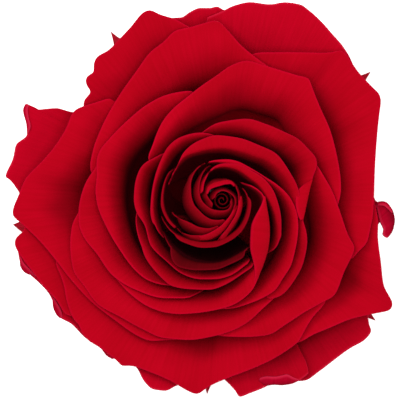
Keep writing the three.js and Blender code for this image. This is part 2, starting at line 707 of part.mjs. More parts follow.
// Shape of a sepal along its length: how wide it starts, how much it swells, how late it falls and its dish.
const SEPAL_START_SHARE = 0.6;
const SEPAL_SWELL = 2;
const SEPAL_FALL_POWER = 1.7;
const SEPAL_DISH = 0.25;
const SEPAL_STATIONS = [0, 0.12, 0.28, 0.46, 0.64, 0.82, 1];

function sepal({ azimuth, length }) {
  const turn = (azimuth * Math.PI) / 180;
  const along = new THREE.Vector3(Math.cos(turn), Math.sin(turn), 0);
  const side = new THREE.Vector3(-Math.sin(turn), Math.cos(turn), 0);
  const grid = [-1, 0, 1].map((across) =>
    SEPAL_STATIONS.map((s) => {
      const swell = (1 - s) * (SEPAL_START_SHARE + SEPAL_SWELL * s);
      const half = SEPAL_TIP_HALF_WIDTH + (SEPAL_HALF_WIDTH - SEPAL_TIP_HALF_WIDTH) * swell;
      const radius = SEPAL_ROOT_RADIUS + (length - SEPAL_ROOT_RADIUS) * s;
      const height = SEPAL_THICK / 2 + (SEPAL_ROOT_HEIGHT - SEPAL_THICK / 2) * (1 - s ** SEPAL_FALL_POWER);
      return new THREE.Vector3()
        .addScaledVector(along, radius)
        .addScaledVector(side, -across * half)
        .addScaledVector(BUD_OFFSET, 1 - s)
        .setZ(height + SEPAL_DISH * (1 - s) * Math.abs(across));
    }),
  );
  const lift = (amount) => grid.map((column) => column.map((v) => v.clone().setZ(v.z + amount)));
  return thicken(lift(SEPAL_THICK / 2), lift(-SEPAL_THICK / 2));
}
for (const [name, shape] of Object.entries(SEPALS)) add(name, sepal(shape), SEPAL_COLOUR);

// Hip: the swollen top of the stem, with the cone that carries the petals.
const HIP_OUTLINE = [
  [0, 3.5], [2.7, 3.5], [3.9, 4.3], [4.7, 5.4], [4.9, 6.4], [4.6, 7.5], [4.1, 8.4], [3.4, 9.8], [1.9, 12.8],
  [0.7, 15.1], [0, 15.4],
];
const HIP_SIDES = 20;
const HIP_LEAN_FROM = 3.5;
const HIP_LEAN_TO = 8.4;
function hip() {
  const geometry = new THREE.LatheGeometry(HIP_OUTLINE.map(([r, z]) => new THREE.Vector2(r, z)), HIP_SIDES);
  geometry.rotateX(Math.PI / 2);
  const places = geometry.getAttribute("position");
  for (let i = 0; i < places.count; i++) {
    const share = THREE.MathUtils.smoothstep(places.getZ(i), HIP_LEAN_FROM, HIP_LEAN_TO);
    places.setX(i, places.getX(i) + share * BUD_X);
    places.setY(i, places.getY(i) + share * BUD_Y);
  }
  return geometry;
}
add("hip", hip(), HIP_COLOUR);

// Stem: a short stub with a flat cut below.
const STEM_OUTLINE = [[0, 0], [2.55, 0], [2.6, 0.4], [2.45, 3.2], [0, 3.2]];
const STEM_SIDES = 20;
const stem = new THREE.LatheGeometry(STEM_OUTLINE.map(([r, z]) => new THREE.Vector2(r, z)), STEM_SIDES);
add("stem_stub", stem.rotateX(Math.PI / 2), STEM_COLOUR);

export default group;
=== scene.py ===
import bpy
import mathutils
import numpy as np
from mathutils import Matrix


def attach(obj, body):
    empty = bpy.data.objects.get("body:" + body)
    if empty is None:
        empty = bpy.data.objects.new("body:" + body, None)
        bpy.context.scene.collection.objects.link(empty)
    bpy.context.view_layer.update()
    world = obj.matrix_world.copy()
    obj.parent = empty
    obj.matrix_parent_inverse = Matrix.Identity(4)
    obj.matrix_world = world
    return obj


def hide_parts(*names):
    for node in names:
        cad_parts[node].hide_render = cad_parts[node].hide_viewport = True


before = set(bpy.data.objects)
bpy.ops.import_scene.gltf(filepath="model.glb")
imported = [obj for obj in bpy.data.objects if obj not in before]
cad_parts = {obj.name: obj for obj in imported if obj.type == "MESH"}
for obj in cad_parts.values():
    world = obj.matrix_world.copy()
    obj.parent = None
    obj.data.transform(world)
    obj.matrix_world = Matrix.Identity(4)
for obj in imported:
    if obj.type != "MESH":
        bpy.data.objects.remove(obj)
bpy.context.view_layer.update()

# Stem stub. The real piece is the last few millimetres of the woody stem, cut off flat under the hip with a
# florist's knife. It is brown and faintly ribbed outside, with a paler ring of fibres round the pith below.
MM = 0.001
ROUND_SIDES = 96


def closed_mesh(name, points, faces, uv=None, from_rim=None):
    """A smooth mesh object from points in millimetres and faces as lists of indices, with its place in its
    mesh. uv is one pair for each point, and from_rim is each point's distance from a petal's rim."""
    mesh = bpy.data.meshes.new(name)
    mesh.from_pydata((points * MM).tolist(), [], faces)
    mesh.polygons.foreach_set("use_smooth", np.ones(len(mesh.polygons), bool))
    if uv is not None:
        corner = np.zeros(len(mesh.loops), np.int64)
        mesh.loops.foreach_get("vertex_index", corner)
        layer = mesh.uv_layers.new(name="surface")
        layer.data.foreach_set("uv", uv[corner].ravel())
    if from_rim is not None:
        mark = mesh.attributes.new("from_rim", "FLOAT", "POINT")
        mark.data.foreach_set("value", from_rim)
    mesh.validate()
    mesh.update()
    piece = bpy.data.objects.new(name, mesh)
    bpy.context.scene.collection.objects.link(piece)
    return piece


def turned(outline, wobble):
    """A body turned about the z axis: outline holds (radius, height) pairs from the bottom pole to the top
    pole, and wobble(angle, height) is the share by which the radius grows there."""
    sides = ROUND_SIDES
    radius, height = np.array(outline, float).T
    angle = np.linspace(0, 2 * np.pi, sides, endpoint=False)
    a, z = np.meshgrid(angle, height[1:-1])
    r = np.repeat(radius[1:-1, None], sides, axis=1) * (1 + wobble(a, z))
    ring = np.stack([r * np.cos(a), r * np.sin(a), z], axis=-1).reshape(-1, 3)
    points = np.vstack([ring, [[0, 0, height[0]], [0, 0, height[-1]]]])
    rows = len(height) - 2
    i = np.arange(rows * sides).reshape(rows, sides)
    right = np.roll(i, -1, axis=1)
    quads = np.stack([i[:-1], right[:-1], right[1:], i[1:]], axis=-1).reshape(-1, 4)
    foot, tip = rows * sides, rows * sides + 1
    fan_low = np.stack([right[0], i[0], np.full(sides, foot)], axis=-1)
    fan_high = np.stack([i[-1], right[-1], np.full(sides, tip)], axis=-1)
    return points, quads.tolist() + fan_low.tolist() + fan_high.tolist()


def new_material(name, roughness, specular):
    """A material with that roughness and specular level, and its shader."""
    material = bpy.data.materials.new(name)
    material.use_nodes = True
    shader = material.node_tree.nodes["Principled BSDF"]
    shader.inputs["Roughness"].default_value = roughness
    shader.inputs["Specular IOR Level"].default_value = specular
    return material, shader


def add_node(material, kind, values, feeds, **settings):
    """A node in a material. The settings are its own, values go on its sockets by name or number, and feeds
    lead the outputs of other nodes into them."""
    node = material.node_tree.nodes.new(kind)
    for setting, value in settings.items():
        setattr(node, setting, value)
    for socket, value in values.items():
        node.inputs[socket].default_value = value
    for socket, output in feeds.items():
        material.node_tree.links.new(output, node.inputs[socket])
    return node


def two_tones(material, tones, factor):
    """A colour that runs between two tones, each a (place, colour) pair, as the factor goes past them."""
    ramp = add_node(material, "ShaderNodeValToRGB", {}, {"Fac": factor})
    for stop, (place, colour) in zip(ramp.color_ramp.elements, tones):
        stop.position = place
        stop.color = (*colour, 1)
    return ramp.outputs["Color"]


def lay_on(material, shader, colour, height, strength, depth):
    """Lead a colour into a shader, and a height as a fine relief of that strength and depth in metres."""
    values = {"Strength": strength, "Distance": depth}
    relief = add_node(material, "ShaderNodeBump", values, {"Height": height})
    material.node_tree.links.new(colour, shader.inputs["Base Color"])
    material.node_tree.links.new(relief.outputs["Normal"], shader.inputs["Normal"])


def noise_along(material, place, grain, values):
    """A soft noise of those values on coordinates that are stretched to run along the grain."""
    stretch = add_node(material, "ShaderNodeMapping", {"Scale": grain}, {"Vector": place})
    noise = add_node(material, "ShaderNodeTexNoise", values, {"Vector": stretch.outputs["Vector"]})
    return noise.outputs["Fac"]


def bark_ribs(angle, height):
    """The share by which the stem's radius grows: shallow ribs round it that lean a little as they climb."""
    return 0.022 * np.sin(9 * angle + 0.5 * height) + 0.012 * np.sin(17 * angle - 0.8 * height)


stem_outline = [(0, 0), (1.2, 0), (2.2, 0), (2.5, 0.03), (2.58, 0.14), (2.55, 0.5), (2.5, 1.2),
                (2.45, 2.1), (2.42, 2.8), (2.36, 3.08), (2.1, 3.18), (1.1, 3.2), (0, 3.2)]
stem = closed_mesh("cut_stem", *turned(stem_outline, bark_ribs))

stem_brown, shader = new_material("stem_brown", roughness=0.72, specular=0.3)
place = add_node(stem_brown, "ShaderNodeTexCoord", {}, {}).outputs["Object"]
fibres = noise_along(stem_brown, place, (1.0, 1.0, 0.12), {"Scale": 2600.0, "Detail": 4.0})
browns = two_tones(stem_brown, [(0.32, (0.045, 0.014, 0.008)), (0.68, (0.17, 0.075, 0.035))], fibres)
lay_on(stem_brown, shader, browns, fibres, strength=0.5, depth=0.00012)
stem.data.materials.append(stem_brown)
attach(stem, "root")
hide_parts("stem_stub")

# Hip. The real piece is the swollen receptacle on top of the stem, which carries the sepals and all petals.
# It grew in one piece with a smooth green skin, and the dye of the preserving bath has turned it dark red.
# The bloom is drawn in steps of STEP millimetres, x to the right and y down from the picture's upper left.
STEP = 0.1818
STEM_AT = (215, 202)
BUD_AT = (222, 200)
BUD_X = (BUD_AT[0] - STEM_AT[0]) * STEP
BUD_Y = (STEM_AT[1] - BUD_AT[1]) * STEP
HIP_FOOT, HIP_SHOULDER, HIP_CLOSE, HIP_TOP = 3.5, 8.4, 15.38, 15.4
HIP_RIBS_END = 8.5


def smooth_curve(keys, values, at):
    """Values at some keys on a smooth curve through points: each stretch is a cubic, and its slope at a point
    is the harmonic mean of the two chords there, or zero at a turn, so that the curve never overshoots."""
    k, v = np.asarray(keys, float), np.asarray(values, float)
    chord = np.diff(v) / np.diff(k)
    slope = np.concatenate([[chord[0]], np.zeros(len(k) - 2), [chord[-1]]])
    same_way = chord[:-1] * chord[1:] > 0
    mean = 2 * chord[:-1] * chord[1:] / np.where(same_way, chord[:-1] + chord[1:], 1)
    slope[1:-1] = np.where(same_way, mean, 0)
    i = np.clip(np.searchsorted(k, at, side="right") - 1, 0, len(k) - 2)
    width = k[i + 1] - k[i]
    t = np.clip((at - k[i]) / width, 0, 1)
    a = v[i] * (1 + 2 * t) * (1 - t) ** 2 + v[i + 1] * t * t * (3 - 2 * t)
    return a + width * (slope[i] * t * (1 - t) ** 2 - slope[i + 1] * t * t * (1 - t))


def hip_ribs(angle, height):
    """The share by which the hip's radius grows: five soft swellings under the sepals and fine ripples, both
    fading over four millimetres."""
    low = np.clip((HIP_RIBS_END - height) / 4, 0, 1)
    return low * (0.03 * np.cos(5 * angle - 0.6) + 0.008 * np.sin(23 * angle + height))


hip_heights = [HIP_FOOT, 3.52, 3.7, 4.3, 5.4, 6.4, 7.5, HIP_SHOULDER, 9.8, 12.8, 15.1, HIP_TOP]
hip_radii = [1.2, 2.5, 3.0, 3.9, 4.7, 4.9, 4.6, 4.1, 3.4, 1.9, 0.7, 0.3]
heights = np.concatenate([[HIP_FOOT], np.linspace(HIP_FOOT, HIP_CLOSE, 60), [HIP_TOP]])
radii = smooth_curve(hip_heights, hip_radii, heights)
radii[0] = radii[-1] = 0
hip_points, hip_faces = turned(np.stack([radii, heights], axis=-1), hip_ribs)
lean = np.clip((hip_points[:, 2] - HIP_FOOT) / (HIP_SHOULDER - HIP_FOOT), 0, 1)
lean = lean * lean * (3 - 2 * lean)
hip_points[:, 0] += lean * BUD_X
hip_points[:, 1] += lean * BUD_Y
hip = closed_mesh("rose_hip", hip_points, hip_faces)

hip_red, shader = new_material("hip_red", roughness=0.55, specular=0.35)
place = add_node(hip_red, "ShaderNodeTexCoord", {}, {}).outputs["Object"]
cloud = noise_along(hip_red, place, (1.0, 1.0, 1.0), {"Scale": 420.0, "Detail": 5.0})
reds = two_tones(hip_red, [(0.35, (0.05, 0.008, 0.006)), (0.7, (0.14, 0.02, 0.016))], cloud)
lay_on(hip_red, shader, reds, cloud, strength=0.3, depth=0.00008)
hip.data.materials.append(hip_red)
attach(hip, "root")
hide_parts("hip")

# Sepals. The real pieces are five narrow pointed leaves that grow from the rim of the hip and fold back under
# an open bloom. They are tough, with a midrib and small side lobes, and dyed dark red with the rest.
SEPAL_ROWS = 64
SEPAL_COLUMNS = 17
SEPAL_THICKNESS = 0.5
SEPAL_ROOT = 5.3
SEPAL_HALF_WIDTH = 3.25
SEPAL_TIP_HEIGHT = 0.3
SEPAL_DROP = 6.9
SEPAL_DISH = 0.25
SEPAL_WAVE = 0.18
LOBE_LENGTH = 0.045
ROUNDED_SHARE = 0.6


def both_sides(values):
    """Values of a grid once for its front points and once more for the inner points of its back."""
    tail = values.shape[2:]
    return np.concatenate([values.reshape(-1, *tail), values[1:-1, 1:-1].reshape(-1, *tail)])


def thin_leaf(name, middle, thickness, from_margin, uv, from_rim=None):
    """A closed piece round its middle surface, a grid of points: the front stands half the thickness out
    along the grid's normal and the back half in. Both fall to nothing on a quarter circle towards the margin,
    over a share of the thickness, and they share the points of the grid's edge."""
    columns, rows = middle.shape[:2]
    normal = np.cross(np.gradient(middle, axis=0), np.gradient(middle, axis=1))
    normal /= np.linalg.norm(normal, axis=-1, keepdims=True) + 1e-12
    near = np.clip(from_margin / (ROUNDED_SHARE * thickness), 0, 1)
    half = 0.5 * thickness * np.sqrt(1 - (1 - near) ** 2)
    half[0] = half[-1] = 0
    half[:, 0] = half[:, -1] = 0
    front = middle + normal * half[..., None]
    back = middle - normal * half[..., None]
    points = np.vstack([front.reshape(-1, 3), back[1:-1, 1:-1].reshape(-1, 3)])
    i = np.arange(columns * rows).reshape(columns, rows)
    j = i.copy()
    j[1:-1, 1:-1] = columns * rows + np.arange((columns - 2) * (rows - 2)).reshape(columns - 2, rows - 2)
    up, down = [
        np.stack([g[:-1, :-1], g[1:, :-1], g[1:, 1:], g[:-1, 1:]], axis=-1).reshape(-1, 4) for g in (i, j)
    ]
    faces = np.vstack([up, down[:, ::-1]]).tolist()
    rim = None if from_rim is None else both_sides(from_rim)
    return closed_mesh(name, points, faces, both_sides(uv), rim)


def sepal_surface(azimuth, length, lobes):
    """A sepal's middle surface. s runs from root to tip and a from one margin to the other. The half width
    swells and narrows as (1 - s)(0.6 + 2 s) and carries side lobes, each a bell on one side, the height falls
    as 1 - s^1.7, and the blade is dished across and slightly wavy along."""
    s = np.linspace(0, 1, SEPAL_ROWS)[None, :]
    a = np.linspace(-1, 1, SEPAL_COLUMNS)[:, None]
    half = 0.3 + SEPAL_HALF_WIDTH * (1 - s) * (0.6 + 2 * s)
    for side, where, size in lobes:
        half = half + size * np.clip(a * side, 0, 1) * np.exp(-(((s - where) / LOBE_LENGTH) ** 2))
    half = half * np.clip((1 - s) / 0.08, 0, 1) ** 0.6
    radius = SEPAL_ROOT + (length - SEPAL_ROOT) * s
    height = SEPAL_TIP_HEIGHT + SEPAL_DROP * (1 - s**1.7) + SEPAL_DISH * (1 - s) * np.abs(a)
    height = height + SEPAL_WAVE * np.sin(9 * s + 2 * a) * s * (1 - s)
    side = a * half
    turn = np.radians(azimuth)
    x = radius * np.cos(turn) - side * np.sin(turn) + BUD_X * (1 - s)
    y = radius * np.sin(turn) + side * np.cos(turn) + BUD_Y * (1 - s)
    return np.stack([x, y, np.broadcast_to(height, x.shape)], axis=-1), s, a


sepal_red, shader = new_material("sepal_red", roughness=0.8, specular=0.1)
surface = add_node(sepal_red, "ShaderNodeUVMap", {}, {}, uv_map="surface").outputs["UV"]
fibres = noise_along(sepal_red, surface, (26.0, 5.0, 1.0), {"Scale": 1.0, "Detail": 5.0})
reds = two_tones(sepal_red, [(0.3, (0.16, 0.0, 0.004)), (0.7, (0.34, 0.0, 0.012))], fibres)
lay_on(sepal_red, shader, reds, fibres, strength=0.5, depth=0.0001)

sepals = {
    "sepal_top": dict(azimuth=121.4, length=37.0, lobes=[(1, 0.72, 1.2)]),
    "sepal_right": dict(azimuth=39.9, length=37.6, lobes=[(-1, 0.7, 1.3)]),
    "sepal_lower_right": dict(azimuth=-36.4, length=37.0, lobes=[(1, 0.6, 1.2)]),
    "sepal_bottom": dict(azimuth=-92.3, length=35.6, lobes=[(-1, 0.65, 1.3)]),
    "sepal_left": dict(azimuth=186.4, length=37.6, lobes=[(1, 0.955, 1.5), (1, 0.78, 1.6)]),
}
for node, shape in sepals.items():
    middle, s, a = sepal_surface(**shape)
    # Millimetres from the nearest margin, about three across the half width and eight times that to the ends.
    from_margin = np.minimum(1 - np.abs(a), np.minimum(1 - s, s) * 8) * 3.0
    uv = np.stack(np.broadcast_arrays(0.5 + 0.5 * a, s), axis=-1)
    piece = thin_leaf(node + "_leaf", middle, SEPAL_THICKNESS, from_margin, uv)
    piece.data.materials.append(sepal_red)
    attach(piece, "root")
    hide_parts(node)

# Guard petals. The real pieces are the eight lowest petals, which shielded the bloom while it grew. They are
# thin and dyed crimson, with ragged margins that curl; painted shade darkens the two lower right ones, and
# the curls carry a pale painted highlight at their edge.

# All petals follow one family of nested profiles round the bud's axis. A profile is named by its reach, the
# distance in steps from the axis to its crest, and the tables hold (reach, value) pairs: heights in
# millimetres, the radius of the upright wall and the width of the rolled edge in steps, and how far inward
# and up on the hip the petal is rooted, from 0 to 1.
CREST_HEIGHT = [(0, 43.6), (20, 43.0), (40, 41.6), (60, 39.7), (80, 37.6), (100, 35.3), (120, 33.1),
                (150, 30.0), (180, 27.0), (210, 24.0), (240, 21.0)]
TOP_CURVE_HEIGHT = [(0, 4), (20, 6.5), (40, 8), (60, 8.5), (100, 9), (150, 9), (200, 8), (240, 6)]
WALL_LEFT = [(0, 5), (10, 18), (20, 31), (30, 42), (40, 49.5), (50, 55.5), (60, 60.5), (70, 65),
             (80, 69.5), (90, 75), (100, 82), (120, 95.5), (150, 108), (180, 119), (210, 131), (240, 142)]
WALL_RIGHT = [(0, 3), (10, 13), (20, 21), (30, 27), (40, 34.5), (50, 41.5), (60, 48.5), (70, 55),
              (80, 61.5), (90, 67.5), (100, 73), (120, 83.5), (150, 99), (180, 114), (210, 128),
              (240, 140)]
ROLL_WIDTH = [(0, 0), (30, 0), (60, 2), (100, 4), (150, 7), (200, 10), (240, 12)]
ROOT_SHARE = [(0, 1), (10, 0.95), (30, 0.85), (50, 0.75), (70, 0.65), (90, 0.56), (120, 0.43), (150, 0.31),
              (180, 0.2), (210, 0.1), (240, 0)]
LEFT_SIDE_AZIMUTH = 228
OUTER_ROOT_RADIUS, OUTER_ROOT_HEIGHT = 5.0, 8.9
INNER_ROOT_RADIUS, INNER_ROOT_HEIGHT = 0.95, 16.2
BOWL_SPREAD, BOWL_RISE, BOWL_LENGTH = 1.6, 1.4, 1.08
TOP_CURVE_SLANT = 0.15
LEAST_TOP_SHARE = 0.12
ROLL_DROOP = 0.085
FLARE_SOFTNESS, FLARE_INSET = 0.5, 0.3
CLOSED_UP = 1e-6
# Waves that run through the whole bloom: direction in degrees, length, start and size.
UNEVEN_WAVES = [(20, 23, 0.6, 0.34), (75, 17, 2.1, 0.26), (130, 13, 4.0, 0.2), (170, 9.5, 1.2, 0.12),
                (48, 7.4, 3.1, 0.08), (105, 6.1, 5.3, 0.06)]
UNEVEN_FROM, UNEVEN_OVER = 12, 14
# Places of the last rows of a petal, as shares of its length back from the rim, and what its dye reads.
ROUNDED_RIM = [0, 0.0007, 0.002, 0.004, 0.007, 0.012]
UV_LENGTH = 40
CLOUD_SHARE, VEIN_SHARE = 0.45, 0.55


def table(pairs, at):
    """Values of a table of (key, value) pairs at some keys, on a smooth curve."""
    keys, values = np.array(sorted(pairs), float).T
    return smooth_curve(keys, values, at)


def softened(values, width):
    """Values along a line, each replaced by the mean of its neighbours under a bell curve of that width in
    points. The two ends stay where they are."""
    reach = int(np.ceil(3 * width))
    bell = np.exp(-0.5 * (np.arange(-reach, reach + 1) / width) ** 2)
    before, after = 2 * values[0] - values[reach:0:-1], 2 * values[-1] - values[-2 : -reach - 2 : -1]
    return np.convolve(np.concatenate([before, values, after]), bell / bell.sum(), mode="valid")


def drawn_rim(rim, near, columns, soft):
    """Azimuth in degrees and radius in millimetres about the bud's axis, at even steps along a smooth curve
    through the rim's drawn points, softened over soft steps of the drawing, and turned so that the azimuth
    grows and its middle is near a given one. The length along the rim comes with them, in millimetres."""
    x = np.array(rim, float)[:, 0] - BUD_AT[0]
    y = BUD_AT[1] - np.array(rim, float)[:, 1]
    angle = np.unwrap(np.arctan2(y, x))
    if angle[0] > angle[-1]:
        x, y = x[::-1], y[::-1]
    length = np.concatenate([[0], np.cumsum(np.hypot(np.diff(x), np.diff(y)))])
    at = np.linspace(0, length[-1], columns)
    width = soft * columns / length[-1]
    px = softened(smooth_curve(length, x, at), width)
    py = softened(smooth_curve(length, y, at), width)
    azimuth = np.degrees(np.unwrap(np.arctan2(py, px)))
    azimuth += 360 * np.round((near - azimuth.mean()) / 360)
    return azimuth, np.hypot(px, py) * STEP, at * STEP


def in_bloom(x, y, height):
    """Points from places about the bud's axis. What is added to the height is the same for all petals at a
    place, so that none crosses another: a sum of waves in several directions, which grow from the hip up."""
    waves = 0
    for turn, length, start, size in UNEVEN_WAVES:
        along = x * np.cos(np.radians(turn)) + y * np.sin(np.radians(turn))
        waves = waves + size * np.sin(2 * np.pi * along / length + start)
    waves = waves * np.clip((height - UNEVEN_FROM) / UNEVEN_OVER, 0, 1) ** 2
    return np.stack([BUD_X + x, BUD_Y + y, height + waves], axis=-1)


def profile(reach, azimuth):
    """The measures of the nested profiles that a petal's reach gives at some azimuths, in millimetres."""
    r = table(reach, azimuth)
    left = 0.5 + 0.5 * np.cos(np.radians(azimuth - LEFT_SIDE_AZIMUTH))
    crest_height = table(CREST_HEIGHT, r)
    rooted = table(ROOT_SHARE, r)
    return dict(
        wall=STEP * (left * table(WALL_LEFT, r) + (1 - left) * table(WALL_RIGHT, r)),
        crest_height=crest_height,
        wall_top=crest_height - table(TOP_CURVE_HEIGHT, r),
        crest=STEP * (r - table(ROLL_WIDTH, r)),
        root=OUTER_ROOT_RADIUS + (INNER_ROOT_RADIUS - OUTER_ROOT_RADIUS) * rooted,
        root_height=OUTER_ROOT_HEIGHT + (INNER_ROOT_HEIGHT - OUTER_ROOT_HEIGHT) * rooted,
    )


def cut_at(p, rim):
    """How the radius of the rim cuts a profile: the width of its top curve, the width of its rolled edge and
    the angle at which the top curve ends. Where the petal flares, the wall is moved inside the crest."""
    flared = np.clip((rim - p["crest"]) / FLARE_SOFTNESS, 0, 1)
    p["wall"] = p["wall"] + flared * (np.minimum(p["wall"], p["crest"] - FLARE_INSET) - p["wall"])
    span = p["crest"] - p["wall"]
    span = np.where(np.abs(span) < CLOSED_UP, CLOSED_UP, span)
    beyond = np.where(span > 0, rim - p["crest"], p["crest"] - rim)
    part = np.where(beyond >= 0, 1, np.maximum((rim - p["wall"]) / span, LEAST_TOP_SHARE))
    return span, np.maximum(beyond, 0), np.arccos(1 - np.minimum(part, 1))


def petal_surface(rim, reach, claw, ends, kind):
    """A petal's middle surface. Each profile is a bowl from the root to the upright wall, with radius
    1 - (1 - t)^1.6 and height t^1.4, then a curve over to the crest that is a mean of a quarter ellipse and a
    parabola, then an edge that rolls outward and droops with the square of its width. The columns run from
    the narrow claw to even places on the drawn rim, and the rows crowd at the rim to round it. ends says how
    the petal shortens towards the two ends of its rim, clockwise one first: over how many millimetres, and to
    which share of its length, on a quarter sine."""
    columns = kind["columns"]
    near = np.mean([azimuth for azimuth, _ in reach])
    rim_azimuth, rim_radius, rim_at = drawn_rim(rim, near, columns, kind["soft"])
    claw_root = profile(reach, np.array([claw]))["root"][0]
    half_rim = (rim_azimuth.max() - rim_azimuth.min()) / 2
    claw_half = min(np.degrees(kind["claw_half_width"] / claw_root), half_rim)

    p = profile(reach, rim_azimuth)
    span, edge, last_turn = cut_at(p, rim_radius)
    bowl = BOWL_LENGTH * np.hypot(p["wall"] - p["root"], p["wall_top"] - p["root_height"])
    top = last_turn * 0.5 * (np.abs(span) + p["crest_height"] - p["wall_top"])
    full = 1
    for (length, least), from_end in zip(ends, (rim_at, rim_at[-1] - rim_at)):
        full = full * (least + (1 - least) * np.sin(np.pi / 2 * np.clip(from_end / length, 0, 1)))
    share = 1 - np.concatenate([ROUNDED_RIM, np.linspace(0.02, 1, kind["rows"])])[::-1]
    run = share[None, :] * ((bowl + top + edge) * full)[:, None]
    bowl, top, edge = bowl[:, None], top[:, None], edge[:, None]
    row = np.where(run < bowl, run / bowl, 1 + (run - bowl) / top)
    over = (run - (bowl + top)) / np.maximum(edge, CLOSED_UP)
    row = np.where(row > 2, np.where(edge > CLOSED_UP, 2 + over, 2), row)

    t = np.clip(row / kind["widest"], 0, 1)
    t = t * t * (3 - 2 * t)
    claw_azimuth = (claw + claw_half * np.linspace(-1, 1, columns))[:, None]
    azimuth = claw_azimuth + (rim_azimuth[:, None] - claw_azimuth) * t
    p = profile(reach, azimuth)
    span, edge, last_turn = cut_at(p, rim_radius[:, None])
    low = np.clip(row, 0, 1)
    turn = last_turn * np.clip(row - 1, 0, 1)
    past = edge * np.clip(row - 2, 0, 1)
    risen = 1 - (1 - TOP_CURVE_SLANT) * (1 - np.sin(turn)) - TOP_CURVE_SLANT * np.cos(turn) ** 2
    radius = np.where(
        row < 1,
        p["root"] + (p["wall"] - p["root"]) * (1 - (1 - low) ** BOWL_SPREAD),
        p["wall"] + span * (1 - np.cos(turn)) + np.sign(span) * past,
    )
    height = np.where(
        row < 1,
        p["root_height"] + (p["wall_top"] - p["root_height"]) * low**BOWL_RISE,
        p["wall_top"] + (p["crest_height"] - p["wall_top"]) * risen - ROLL_DROOP * past**2,
    )
    angle = np.radians(azimuth)
    return in_bloom(radius * np.cos(angle), radius * np.sin(angle), height)


def petal_piece(node, shape, kind):
    """A node's petal as a thin leaf, with a UV that runs across and along it in shares of UV_LENGTH."""
    middle = petal_surface(shape["rim"], shape["reach"], shape["claw"], shape.get("ends", kind["ends"]), kind)
    step = np.linalg.norm(np.diff(middle, axis=1), axis=-1)
    from_root = np.concatenate([np.zeros((len(middle), 1)), np.cumsum(step, axis=1)], axis=1)
    from_rim = from_root[:, -1:] - from_root
    rim_step = np.linalg.norm(np.diff(middle[:, -1], axis=0), axis=-1)
    along_rim = np.concatenate([[0], np.cumsum(rim_step)])
    uv = np.stack([np.broadcast_to(along_rim[:, None], from_rim.shape), from_rim], axis=-1) / UV_LENGTH
    return thin_leaf(node + "_blade", middle, kind["thickness"], from_rim, uv, from_rim)


def petal_dye(name, light, dark, edge, depth, sheen=0.02):
    """A velvety dyed petal: soft cloudy crimson, darker fine veins that run from claw to rim, and a thin
    lighter line along the rim as painted highlight. light, dark and edge are its colours. Painted shade
    darkens it
    towards the claw: depth is the distance from the rim, in millimetres, at which the painted shade starts
    and at which it is darkest, and the share of its lightness that is left there."""
    dye, shader = new_material(name, roughness=0.85, specular=0.02)
    shader.inputs["Sheen Weight"].default_value = sheen
    shader.inputs["Sheen Roughness"].default_value = 0.45
    shader.inputs["Sheen Tint"].default_value = (1.0, 0.02, 0.08, 1)
    surface = add_node(dye, "ShaderNodeUVMap", {}, {}, uv_map="surface").outputs["UV"]
    veins = noise_along(dye, surface, (70.0, 3.5, 1.0), {"Scale": 1.0, "Detail": 4.0, "Roughness": 0.6})
    place = add_node(dye, "ShaderNodeTexCoord", {}, {}).outputs["Object"]
    cloud = add_node(dye, "ShaderNodeTexNoise", {"Scale": 110.0, "Detail": 3.0}, {"Vector": place})
    half = add_node(dye, "ShaderNodeMath", {1: CLOUD_SHARE}, {0: cloud.outputs["Fac"]}, operation="MULTIPLY")
    feeds = {0: veins, 2: half.outputs["Value"]}
    both = add_node(dye, "ShaderNodeMath", {1: VEIN_SHARE}, feeds, operation="MULTIPLY_ADD")
    tones = two_tones(dye, [(0.3, dark), (0.62, light)], both.outputs["Value"])
    # Painted highlight: a thin lighter line along the rim, fading out by half a millimetre.
    distance = add_node(dye, "ShaderNodeAttribute", {}, {}, attribute_name="from_rim").outputs["Fac"]
    fade = {"From Min": 0.05, "From Max": 0.45, "To Min": 0.7, "To Max": 0.0}
    line = add_node(dye, "ShaderNodeMapRange", fade, {"Value": distance})
    feeds = {"Factor": line.outputs["Result"], "A": tones}
    rim_highlit = add_node(dye, "ShaderNodeMix", {"B": (*edge, 1)}, feeds, data_type="RGBA")
    # Painted shade: the colour darkens towards the claw, as the depth settings give.
    fade = {"From Min": depth[0], "From Max": depth[1], "To Min": 1.0, "To Max": depth[2]}
    painted_shade = add_node(dye, "ShaderNodeMapRange", fade, {"Value": distance}, interpolation_type="SMOOTHSTEP")
    feeds = {0: rim_highlit.outputs["Result"], "Scale": painted_shade.outputs["Result"]}
    shaded_tones = add_node(dye, "ShaderNodeVectorMath", {}, feeds, operation="SCALE")
    lay_on(dye, shader, shaded_tones.outputs["Vector"], veins, strength=0.35, depth=0.00006)
    return dye


